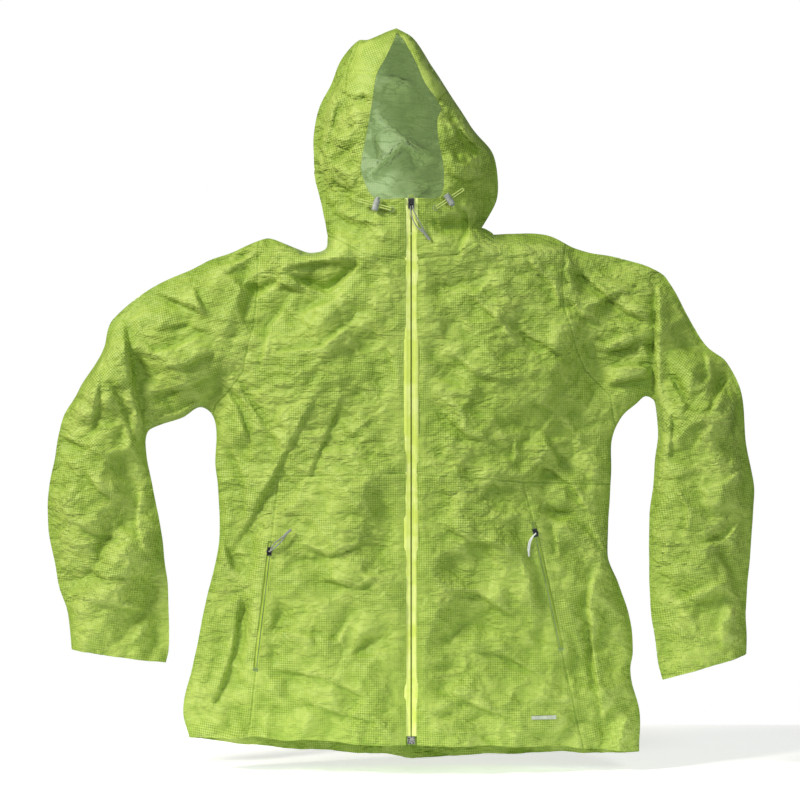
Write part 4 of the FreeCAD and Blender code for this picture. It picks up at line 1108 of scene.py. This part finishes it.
def crinkle(nodes, where, cell, slope, warp):
    """Height in metres of small roof-like facets about a cell wide, with sharp ridges and valleys."""
    push = nodes.add("ShaderNodeTexNoise", Scale=0.6 / cell, Detail=2.0)
    nodes.join(where, push.inputs["Vector"])
    away = nodes.add("ShaderNodeVectorMath", operation="SUBTRACT")
    nodes.join(push.outputs["Color"], away.inputs[0])
    away.inputs[1].default_value = (0.5, 0.5, 0.5)
    moved = nodes.add("ShaderNodeVectorMath", operation="MULTIPLY_ADD")
    nodes.join(away.outputs[0], moved.inputs[0])
    moved.inputs[1].default_value = (warp * cell,) * 3
    nodes.join(where, moved.inputs[2])
    cells = nodes.add("ShaderNodeTexVoronoi", feature="DISTANCE_TO_EDGE", Scale=1 / cell)
    nodes.join(moved.outputs[0], cells.inputs["Vector"])
    return nodes.times(cells.outputs["Distance"], slope * cell)


def stretched(nodes, where, angle, factor):
    """Coordinates turned about the y axis and drawn out along one way."""
    node = nodes.add("ShaderNodeMapping")
    nodes.join(where, node.inputs["Vector"])
    node.inputs["Rotation"].default_value = (0, math.radians(angle), 0)
    node.inputs["Scale"].default_value = (1 / factor, 1, 1)
    return node.outputs[0]


def crease_lines(nodes, where, size, depth):
    """Height in metres of thin broken creases: narrow valleys where a noise crosses its middle value."""
    field = nodes.noise(where, 1 / size, 3.0, 0.55)
    return nodes.times(nodes.ramp(nodes.off(field, 0.5), 0.0, 0.045), depth)


def long_creases(nodes, where):
    """The longest of the thin creases, as a height in metres."""
    return crease_lines(nodes, stretched(nodes, where, 50, 3.0), 0.020, CREASE_DEPTH)


def crease_shaded_color(nodes, where, color, share, dark):
    """A color darkened along the long creases: painted shade in them."""
    # painted shade: strongest in the middle of each crease
    depth = nodes.math("SUBTRACT", 1.0, nodes.math("DIVIDE", long_creases(nodes, where), CREASE_DEPTH))
    return nodes.tinted(color, depth, share, dark)


def crinkled(nodes, where):
    """Normals of the small creases: long facets leaning across each other, and thin crease lines."""
    total = 0
    for angle, stretch, cell, slope, warp in FACETS:
        total = nodes.plus(total, crinkle(nodes, stretched(nodes, where, angle, stretch), cell, slope, warp))
    total = nodes.plus(total, long_creases(nodes, where))
    short_creases = crease_lines(nodes, stretched(nodes, where, -28, 3.0), 0.013, SHORT_CREASE_DEPTH)
    total = nodes.plus(total, short_creases)
    bump = nodes.add("ShaderNodeBump", Distance=1.0)
    nodes.join(total, bump.inputs["Height"])
    nodes.join(nodes.attribute("crinkle"), bump.inputs["Strength"])
    return bump.outputs[0]


def thread_grid(nodes, pitch, thread):
    """1 on the ripstop's thicker threads and 0 between them; and, second, 1 where two threads cross."""
    axes = nodes.axes(nodes.attribute("weave", "Vector"))
    across, along = (nodes.ramp(nodes.from_middle(axes[axis], pitch), thread, thread * 0.35)
                     for axis in (0, 1))
    return nodes.math("MAXIMUM", across, along), nodes.times(across, along)


def stitches(nodes):
    """1 on the topstitching that runs beside a seam."""
    line = nodes.ramp(nodes.off(nodes.attribute("seam"), 0.0024), 0.0006, 0.0003)
    step = nodes.from_middle(nodes.attribute("place"), STITCH)
    return nodes.times(line, nodes.ramp(step, 0.4, 0.3))


def shell_material():
    """Lime ripstop nylon: squares between thick threads, slight sheen, small creases, a painted highlight on
    the crests and painted shade in the hollows.
    """
    nodes = Nodes("lime_ripstop")
    grid, knots = thread_grid(nodes, RIPSTOP, 0.3)
    where = nodes.position()
    broad = nodes.noise(where, 9, 3)
    fine = nodes.noise(where, 160, 4, 0.62)
    color = nodes.mix(nodes.ramp(broad, 0.3, 0.7), (0.350, 0.480, 0.076), (0.405, 0.530, 0.102))
    crest = nodes.attribute("crest")
    # painted highlight: lighter where the cloth stands above its surroundings
    color = nodes.tinted(color, nodes.ramp(crest, 0.0, 1.0), 0.3, (0.560, 0.690, 0.190))
    # painted shade: darker in the hollows of the cloth
    color = nodes.tinted(color, nodes.ramp(crest, 0.0, -0.8), 0.45, (0.180, 0.320, 0.022))
    patchy = nodes.plus(0.15, nodes.times(nodes.ramp(nodes.noise(where, 26, 3), 0.4, 0.62), 0.85))
    color = nodes.tinted(color, nodes.times(grid, 0.55), patchy, (0.215, 0.350, 0.025))
    color = nodes.tinted(color, nodes.times(knots, 0.75), patchy, (0.100, 0.200, 0.008))
    # painted shade along the long creases
    color = crease_shaded_color(nodes, where, color, 0.3, (0.180, 0.320, 0.022))
    thread = stitches(nodes)
    color = nodes.tinted(color, thread, 0.7, (0.520, 0.680, 0.140))
    shaded = nodes.ramp(nodes.attribute("seam"), 0.0012, 0.0003)
    color = nodes.tinted(color, shaded, 0.35, (0.130, 0.250, 0.012))
    normal = nodes.bumped(nodes.plus(grid, thread), 0.0003, 0.8, crinkled(nodes, where))
    rough = nodes.plus(0.40, nodes.times(fine, 0.22))
    return nodes.finish(color, rough, normal, Specular_IOR_Level=0.36, Sheen_Weight=0.05,
                        Sheen_Roughness=0.5, Sheen_Tint=(0.7, 1.0, 0.3, 1))


def lining_material():
    """The inner coating: matt grey-green with the ripstop showing through and soft creases, painted shade in
    its hollows and creases, and a painted glow that stands in for light through the thin shell.
    """
    nodes = Nodes("grey_green_lining")
    grid = thread_grid(nodes, RIPSTOP, 0.26)[0]
    where = nodes.position()
    cloudy = nodes.noise(where, 22, 4)
    color = nodes.mix(nodes.ramp(cloudy, 0.3, 0.7), (0.680, 0.790, 0.500), (0.790, 0.880, 0.620))
    color = nodes.tinted(color, grid, 0.25, (0.400, 0.530, 0.240))
    # painted shade: darker where the lining bulges away from the viewer, in its hollows
    color = nodes.tinted(color, nodes.ramp(nodes.attribute("crest"), -0.5, 1.0), 0.6, (0.200, 0.300, 0.100))
    # painted shade along the long creases
    color = crease_shaded_color(nodes, where, color, 0.6, (0.250, 0.360, 0.140))
    normal = nodes.bumped(grid, 0.0001, 0.5, crinkled(nodes, where))
    # the emission is a painted glow standing in for light that passes through the thin shell
    return nodes.finish(color, 0.62, normal, Specular_IOR_Level=0.25, Sheen_Weight=0.05,
                        Emission_Color=(0.42, 0.56, 0.25, 1), Emission_Strength=0.18)


def tape_material(name, dark, light):
    """Film-coated zip tape: glossy, with fine lengthwise ribs."""
    nodes = Nodes(name)
    where = nodes.position()
    ribs = nodes.math("SINE", nodes.times(nodes.axes(where)[0], 5200))
    ripple = nodes.noise(where, 60, 2)
    color = nodes.mix(nodes.ramp(ripple, 0.3, 0.7), dark, light)
    normal = nodes.bumped(ribs, 0.00006, 0.6)
    normal = nodes.bumped(ripple, 0.0012, 0.5, normal)
    return nodes.finish(color, 0.24, normal, Specular_IOR_Level=0.6, Coat_Weight=0.5, Coat_Roughness=0.2)


COIL_PITCH = 0.0015


def coil_material():
    """Moulded zip coil: its turns, COIL_PITCH apart."""
    nodes = Nodes("zip_coil_turns")
    turns = nodes.math("SINE", nodes.times(nodes.axes(nodes.position())[2], 2 * math.pi / COIL_PITCH))
    color = nodes.mix(nodes.ramp(turns, -0.6, 0.6), (0.300, 0.420, 0.040), (0.560, 0.690, 0.140))
    normal = nodes.bumped(turns, 0.0003, 0.8)
    return nodes.finish(color, 0.4, normal)


def enamel_material():
    """Dark grey enamelled metal, rubbed pale on its corners."""
    nodes = Nodes("dark_enamel")
    where = nodes.position()
    grain = nodes.noise(where, 900, 3)
    pointed = nodes.add("ShaderNodeNewGeometry").outputs["Pointiness"]
    worn = nodes.times(nodes.ramp(pointed, 0.52, 0.62), nodes.ramp(grain, 0.4, 0.6))
    color = nodes.mix(nodes.ramp(grain, 0.3, 0.7), (0.022, 0.025, 0.027), (0.050, 0.054, 0.056))
    color = nodes.mix(worn, color, (0.420, 0.430, 0.430))
    rough = nodes.plus(0.28, nodes.times(grain, 0.2))
    return nodes.finish(color, rough, nodes.bumped(grain, 0.0001, 0.4), Metallic=0.6)


def plastic_material(name, dark, light, roughness=0.38):
    """Moulded plastic with a fine grain and scuffs."""
    nodes = Nodes(name)
    where = nodes.position()
    grain = nodes.noise(where, 1400, 3)
    scuff = nodes.noise(where, 180, 5, 0.7)
    color = nodes.mix(nodes.ramp(scuff, 0.35, 0.7), dark, light)
    rough = nodes.plus(roughness, nodes.times(scuff, 0.2))
    return nodes.finish(color, rough, nodes.bumped(grain, 0.00008, 0.5), Specular_IOR_Level=0.5)


def cord_material(name, dark, light):
    """Braided cord: crossing helical strands about 1 mm apart."""
    nodes = Nodes(name)
    x, _, z = nodes.axes(nodes.position())
    strands = [nodes.math("SINE", nodes.times(nodes.math(way, z, x), 6000)) for way in ("SUBTRACT", "ADD")]
    braid = nodes.math("MAXIMUM", *strands)
    color = nodes.mix(nodes.ramp(braid, -0.5, 0.8), dark, light)
    return nodes.finish(color, 0.6, nodes.bumped(braid, 0.0002, 0.8), Sheen_Weight=0.3)


# ---------------------------------------------------------------------------- small parts

def swept(path, outline):
    """Points and faces of a closed bar: a flat outline carried along a path, all in metres."""
    path = [Vector(point) for point in path]
    count, points, faces = len(outline), [], []
    for number, place in enumerate(path):
        along = path[min(number + 1, len(path) - 1)] - path[max(number - 1, 0)]
        side = along.cross(Vector((0, 1, 0))).normalized()
        front = side.cross(along).normalized()
        points += [place + side * u + front * v for u, v in outline]
    for ring in range(len(path) - 1):
        for corner in range(count):
            a, b = ring * count + corner, ring * count + (corner + 1) % count
            faces.append((a, b, b + count, a + count))
    faces.append(tuple(reversed(range(count))))
    faces.append(tuple(range((len(path) - 1) * count, len(path) * count)))
    return points, faces


def round_outline(radius, sides=10):
    """A circle as a flat outline."""
    return [(radius * math.cos(2 * math.pi * n / sides), radius * math.sin(2 * math.pi * n / sides))
            for n in range(sides)]


def rounded_path(corners, rounds=3):
    """A path with its corners cut until it is smooth."""
    corners = [Vector(corner) * MM for corner in corners]
    for _ in range(rounds):
        cut = [corners[0]]
        for a, b in zip(corners, corners[1:]):
            cut += [a.lerp(b, 0.25), a.lerp(b, 0.75)]
        corners = cut + [corners[-1]]
    return corners


def joined(name, bars, material, smooth=True):
    """One object from several bars of points and faces."""
    points, faces = [], []
    for bar_points, bar_faces in bars:
        faces += [tuple(len(points) + v for v in face) for face in bar_faces]
        points += bar_points
    mesh = bpy.data.meshes.new(name)
    mesh.from_pydata(points, [], faces)
    mesh.polygons.foreach_set("use_smooth", [smooth] * len(faces))
    mesh.materials.append(material)
    piece = bpy.data.objects.new(name, mesh)
    bpy.context.scene.collection.objects.link(piece)
    return piece


# Cord loops for the zip pulls, mm: two strands and the grip they run into, with the radii.
PULL_LOOPS = {
    "zip_pull": (((1.6, -61.4, 747), (3.5, -63.0, 738), (10, -62.6, 727), (17, -61.8, 714)),
                 ((-1.0, -61.4, 746), (-0.5, -63.0, 735), (5, -62.6, 721), (15, -61.8, 711)),
                 ((13.5, -62.0, 717), (18, -61.8, 710), (24.5, -61.6, 701)), 0.8, 1.7),
    "pocket_pull_left": (((166.5, -42.4, 311), (161, -43.4, 305), (158, -43.4, 295), (157.5, -42.8, 284)),
                         ((164.5, -42.4, 309), (158.5, -43.4, 303), (156, -43.4, 294), (156, -42.8, 283)),
                         ((157.2, -42.9, 290), (156.6, -42.9, 285), (157.2, -42.9, 280)), 0.9, 1.5),
    "pocket_pull_right": (((-188, -36.0, 288), (-184, -41.5, 296), (-177, -42.0, 302), (-168, -42.0, 309)),
                          ((-190, -36.0, 286), (-182, -41.5, 291), (-174, -42.0, 299), (-167, -42.0, 308)),
                          ((-171, -42.0, 305), (-166, -42.0, 311), (-160, -42.0, 316)), 0.9, 1.7),
}


def build_pulls(materials):
    """Cord pulls of the three sliders, each with its own material."""
    for name, (one, two, grip, cord, thick) in PULL_LOOPS.items():
        bars = [swept(rounded_path(path), round_outline(radius * MM))
                for path, radius in ((one, cord), (two, cord), (grip, thick))]
        pull = joined(f"{name}_loop", bars, materials[name])
        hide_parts(name)
        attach(pull, frame["nodes"][name]["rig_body"])


# Across a zip tape, mm: distance from the middle of the zip and depth of its laminated face.
TAPE_PROFILE = ((0.85, -56.8), (1.2, -57.15), (4.1, -57.2), (5.0, -57.5), (7.4, -57.5), (9.6, -56.9))
TAPE_RINGS = 120
TAPE_BACK = -56.3
TAPE_ENDS = (42, 757)


def build_tapes(material):
    """Film-coated tapes: flat beside the coil, a little higher further out, with a gentle ripple."""
    for side, sign in (("left", 1), ("right", -1)):
        count = len(TAPE_PROFILE) + 2
        heights = np.linspace(*TAPE_ENDS, TAPE_RINGS)
        points, faces = [], []
        for z in heights:
            ripple = 0.10 * math.sin(z / 17) + 0.06 * math.sin(z / 5.3)
            section = [(x, y + ripple * (x > 4)) for x, y in TAPE_PROFILE]
            section += [(TAPE_PROFILE[-1][0], TAPE_BACK), (TAPE_PROFILE[0][0], TAPE_BACK)]
            points += [Vector((sign * x, y, z)) * MM for x, y in section]
        for ring in range(len(heights) - 1):
            for corner in range(count):
                a, b = ring * count + corner, ring * count + (corner + 1) % count
                quad = (a, b, b + count, a + count)
                faces.append(quad if sign > 0 else tuple(reversed(quad)))
        tape = joined(f"zip_tape_{side}_film", [(points, faces)], material, smooth=False)
        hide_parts(f"zip_tape_{side}")
        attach(tape, "torso")


def build_backing(material):
    """The flap behind the zip and, at its top, the chin guard."""
    flap = box_mesh("zip_backing", (-9, -51.9, 45), (9, -51.5, 708), material)
    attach(flap, "torso")
    guard = box_mesh("chin_guard_soft", (-14, -51.4, 712), (14, -50.4, 754), material)
    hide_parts("chin_guard")
    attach(guard, "torso")


def box_mesh(name, low, high, material):
    """A thin flat strip of cloth between two corners, in mm."""
    (x0, y0, z0), (x1, y1, z1) = low, high
    points = [Vector((x, y, z)) * MM for x in (x0, x1) for y in (y0, y1) for z in (z0, z1)]
    faces = [(0, 1, 3, 2), (4, 6, 7, 5), (0, 4, 5, 1), (2, 3, 7, 6), (0, 2, 6, 4), (1, 5, 7, 3)]
    return joined(name, [(points, faces)], material, smooth=False)


# ---------------------------------------------------------------------------- building

def build_cloth(shell, lining):
    """Both sheets of the jacket, cut into their pieces."""
    tree = cloth_tree()
    sheets = [front_sheet(tree), back_sheet(tree)]
    keep_apart(*sheets)
    for sheet, sign in zip(sheets, (-1, 1)):
        keep_in_box(sheet, sign)
        finish_sheet(sheet, sign)
    return outer_pieces(sheets, shell, lining) | inner_pieces(sheets, shell, lining)


# Where a sleeve's elbow panel meets the upper sleeve, mm.
ELBOW_ENDS = {"left": ((322, 667), (322, 484)), "right": ((-368, 619), (-340, 455))}


def bend_between(piece, first, second, level):
    """Find the direction square to the line level, pointing from first towards second, and bake the piece's
    transform; no blend between bodies is made.
    """
    first, second, level = (np.array(line, float) for line in (first, second, level))
    along = level[-1] - level[0]
    square = np.array([-along[1], along[0]]) / np.linalg.norm(along)
    if (second.mean(0) - first.mean(0)) @ square < 0:
        square = -square
    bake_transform(piece)


def attach_cloth(pieces):
    """Every piece of cloth rides its body, except the neck band, the gussets and the elbow panels, which are
    left unattached.
    """
    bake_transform(pieces["hood_neck_band"])
    bending = {"hood_neck_band"}
    sleeves = (("left", ARMHOLE_LEFT[1:-1], CUTS_LEFT), ("right", ARMHOLE_RIGHT[1:-1], CUTS_RIGHT))
    for side, armhole, cuts in sleeves:
        bend_between(pieces[f"armhole_gusset_{side}"], armhole, cuts[0], armhole)
        bend_between(pieces[f"elbow_panel_{side}"], ELBOW_ENDS[side], cuts[2], cuts[2])
        bending |= {f"armhole_gusset_{side}", f"elbow_panel_{side}"}
    for name, piece in pieces.items():
        if name not in bending:
            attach(piece, frame["nodes"][name]["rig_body"])


def paint(node_names, material):
    """Give carried-over CAD nodes their material."""
    for name in node_names:
        mesh = frame["nodes"][name].data
        mesh.materials.clear()
        mesh.materials.append(material)


FLOOR_SIZE = (1.5, 0.9)
FLOOR_PLACE = (-0.01, 0.06, -0.012)
# Each light: place, size, power in watts and color; all aim at the middle of the jacket.
LIGHTS = {
    "key": ((-3.2, -2.15, 3.1), 1.1, 245, (1.0, 0.94, 0.84)),
    "fill": ((1.2, -3.0, 1.6), 0.9, 38, (0.90, 1.0, 0.90)),
    "back": ((-0.3, 3.2, 1.2), 1.8, 15, (1.0, 1.0, 0.96)),
}
LIGHT_AIM = (0, 0, 0.5)


def build_stage():
    """Pale floor, soft light from the upper left with a weaker one opposite, and a white surround."""
    bpy.ops.mesh.primitive_plane_add(size=1, location=FLOOR_PLACE)
    floor = bpy.context.object
    floor.name = "floor"
    floor.scale = FLOOR_SIZE + (1,)
    nodes = Nodes("pale_floor")
    where = nodes.position()
    color = nodes.mix(nodes.noise(where, 3, 3), (0.93, 0.93, 0.93), (0.96, 0.96, 0.96))
    floor.data.materials.append(nodes.finish(color, 0.8, Emission_Color=(1, 1, 1, 1), Emission_Strength=0.5))
    for name, (place, size, power, color) in LIGHTS.items():
        area_light(name, place, size, power, color)
    world = bpy.data.worlds.new("studio")
    bpy.context.scene.world = world
    world.use_nodes = True
    tree = world.node_tree
    background = tree.nodes["Background"]
    background.inputs["Color"].default_value = (1, 1, 1, 1)
    path = tree.nodes.new("ShaderNodeLightPath")
    strength = tree.nodes.new("ShaderNodeMapRange")
    strength.inputs["To Min"].default_value = 0.20
    strength.inputs["To Max"].default_value = 1.0
    tree.links.new(path.outputs["Is Camera Ray"], strength.inputs["Value"])
    tree.links.new(strength.outputs["Result"], background.inputs["Strength"])


def area_light(name, place, size, power, color):
    """A square soft light that faces the jacket."""
    data = bpy.data.lights.new(name, "AREA")
    data.size, data.energy, data.color = size, power, color
    light = bpy.data.objects.new(name, data)
    light.location = place
    light.rotation_euler = (Vector(LIGHT_AIM) - Vector(place)).to_track_quat("-Z", "Y").to_euler()
    bpy.context.scene.collection.objects.link(light)


# Width that the picture covers at the jacket, the lens in mm, and the middle of the picture.
PICTURE_WIDTH = 1.08
CAMERA_LENS = 120
PICTURE_MIDDLE = (-0.0149, 0.4887)


def build_camera():
    """A long lens that looks straight at the front, level with the middle of the picture."""
    data = bpy.data.cameras.new("camera")
    data.lens = CAMERA_LENS
    camera = bpy.data.objects.new("camera", data)
    distance = PICTURE_WIDTH * CAMERA_LENS / data.sensor_width
    camera.location = (PICTURE_MIDDLE[0], -distance, PICTURE_MIDDLE[1])
    camera.rotation_euler = (math.pi / 2, 0, 0)
    bpy.context.scene.collection.objects.link(camera)
    bpy.context.scene.camera = camera
    bpy.context.scene.view_settings.view_transform = "Standard"


shell, lining = shell_material(), lining_material()
cloth = build_cloth(shell, lining)
attach_cloth(cloth)

tape_film = tape_material("film_zip_tape", (0.62, 0.76, 0.13), (0.76, 0.86, 0.28))
pocket_film = tape_material("film_pocket_tape", (0.35, 0.50, 0.06), (0.46, 0.60, 0.10))
coil_turns, enamel = coil_material(), enamel_material()
grey_plastic = plastic_material("grey_plastic", (0.26, 0.29, 0.27), (0.42, 0.45, 0.43))
pale_plastic = plastic_material("pale_plastic", (0.62, 0.66, 0.66), (0.78, 0.81, 0.81))
silver_film = plastic_material("silver_film", (0.40, 0.45, 0.38), (0.55, 0.60, 0.52), 0.3)
lime_cord = cord_material("lime_cord", (0.34, 0.50, 0.06), (0.62, 0.76, 0.20))
grey_cord = cord_material("grey_cord", (0.10, 0.12, 0.11), (0.36, 0.40, 0.37))
plain_lining = plastic_material("plain_lining", (0.40, 0.55, 0.12), (0.52, 0.66, 0.20), 0.5)
SIDES = ("left", "right")
paint([f"zip_coil_{side}" for side in SIDES] + ["zip_top_stops"], coil_turns)
paint(["zip_slider", "zip_bottom_box"] + [f"pocket_slider_{side}" for side in SIDES], enamel)
paint([f"{kind}_{part}_{side}" for kind in ("hood", "hem") for part in ("lock", "button") for side in SIDES]
      + ["hood_eyelets"], grey_plastic)
build_pulls({"zip_pull": grey_cord, "pocket_pull_left": pale_plastic, "pocket_pull_right": grey_cord})
build_tapes(tape_film)
build_backing(plain_lining)
paint(["reflective_mark"], silver_film)
paint([f"{kind}_cord_{side}" for kind in ("hood", "hem") for side in SIDES] + ["hang_loop"], lime_cord)
paint([f"pocket_tape_{side}" for side in SIDES], pocket_film)

build_stage()
build_camera()
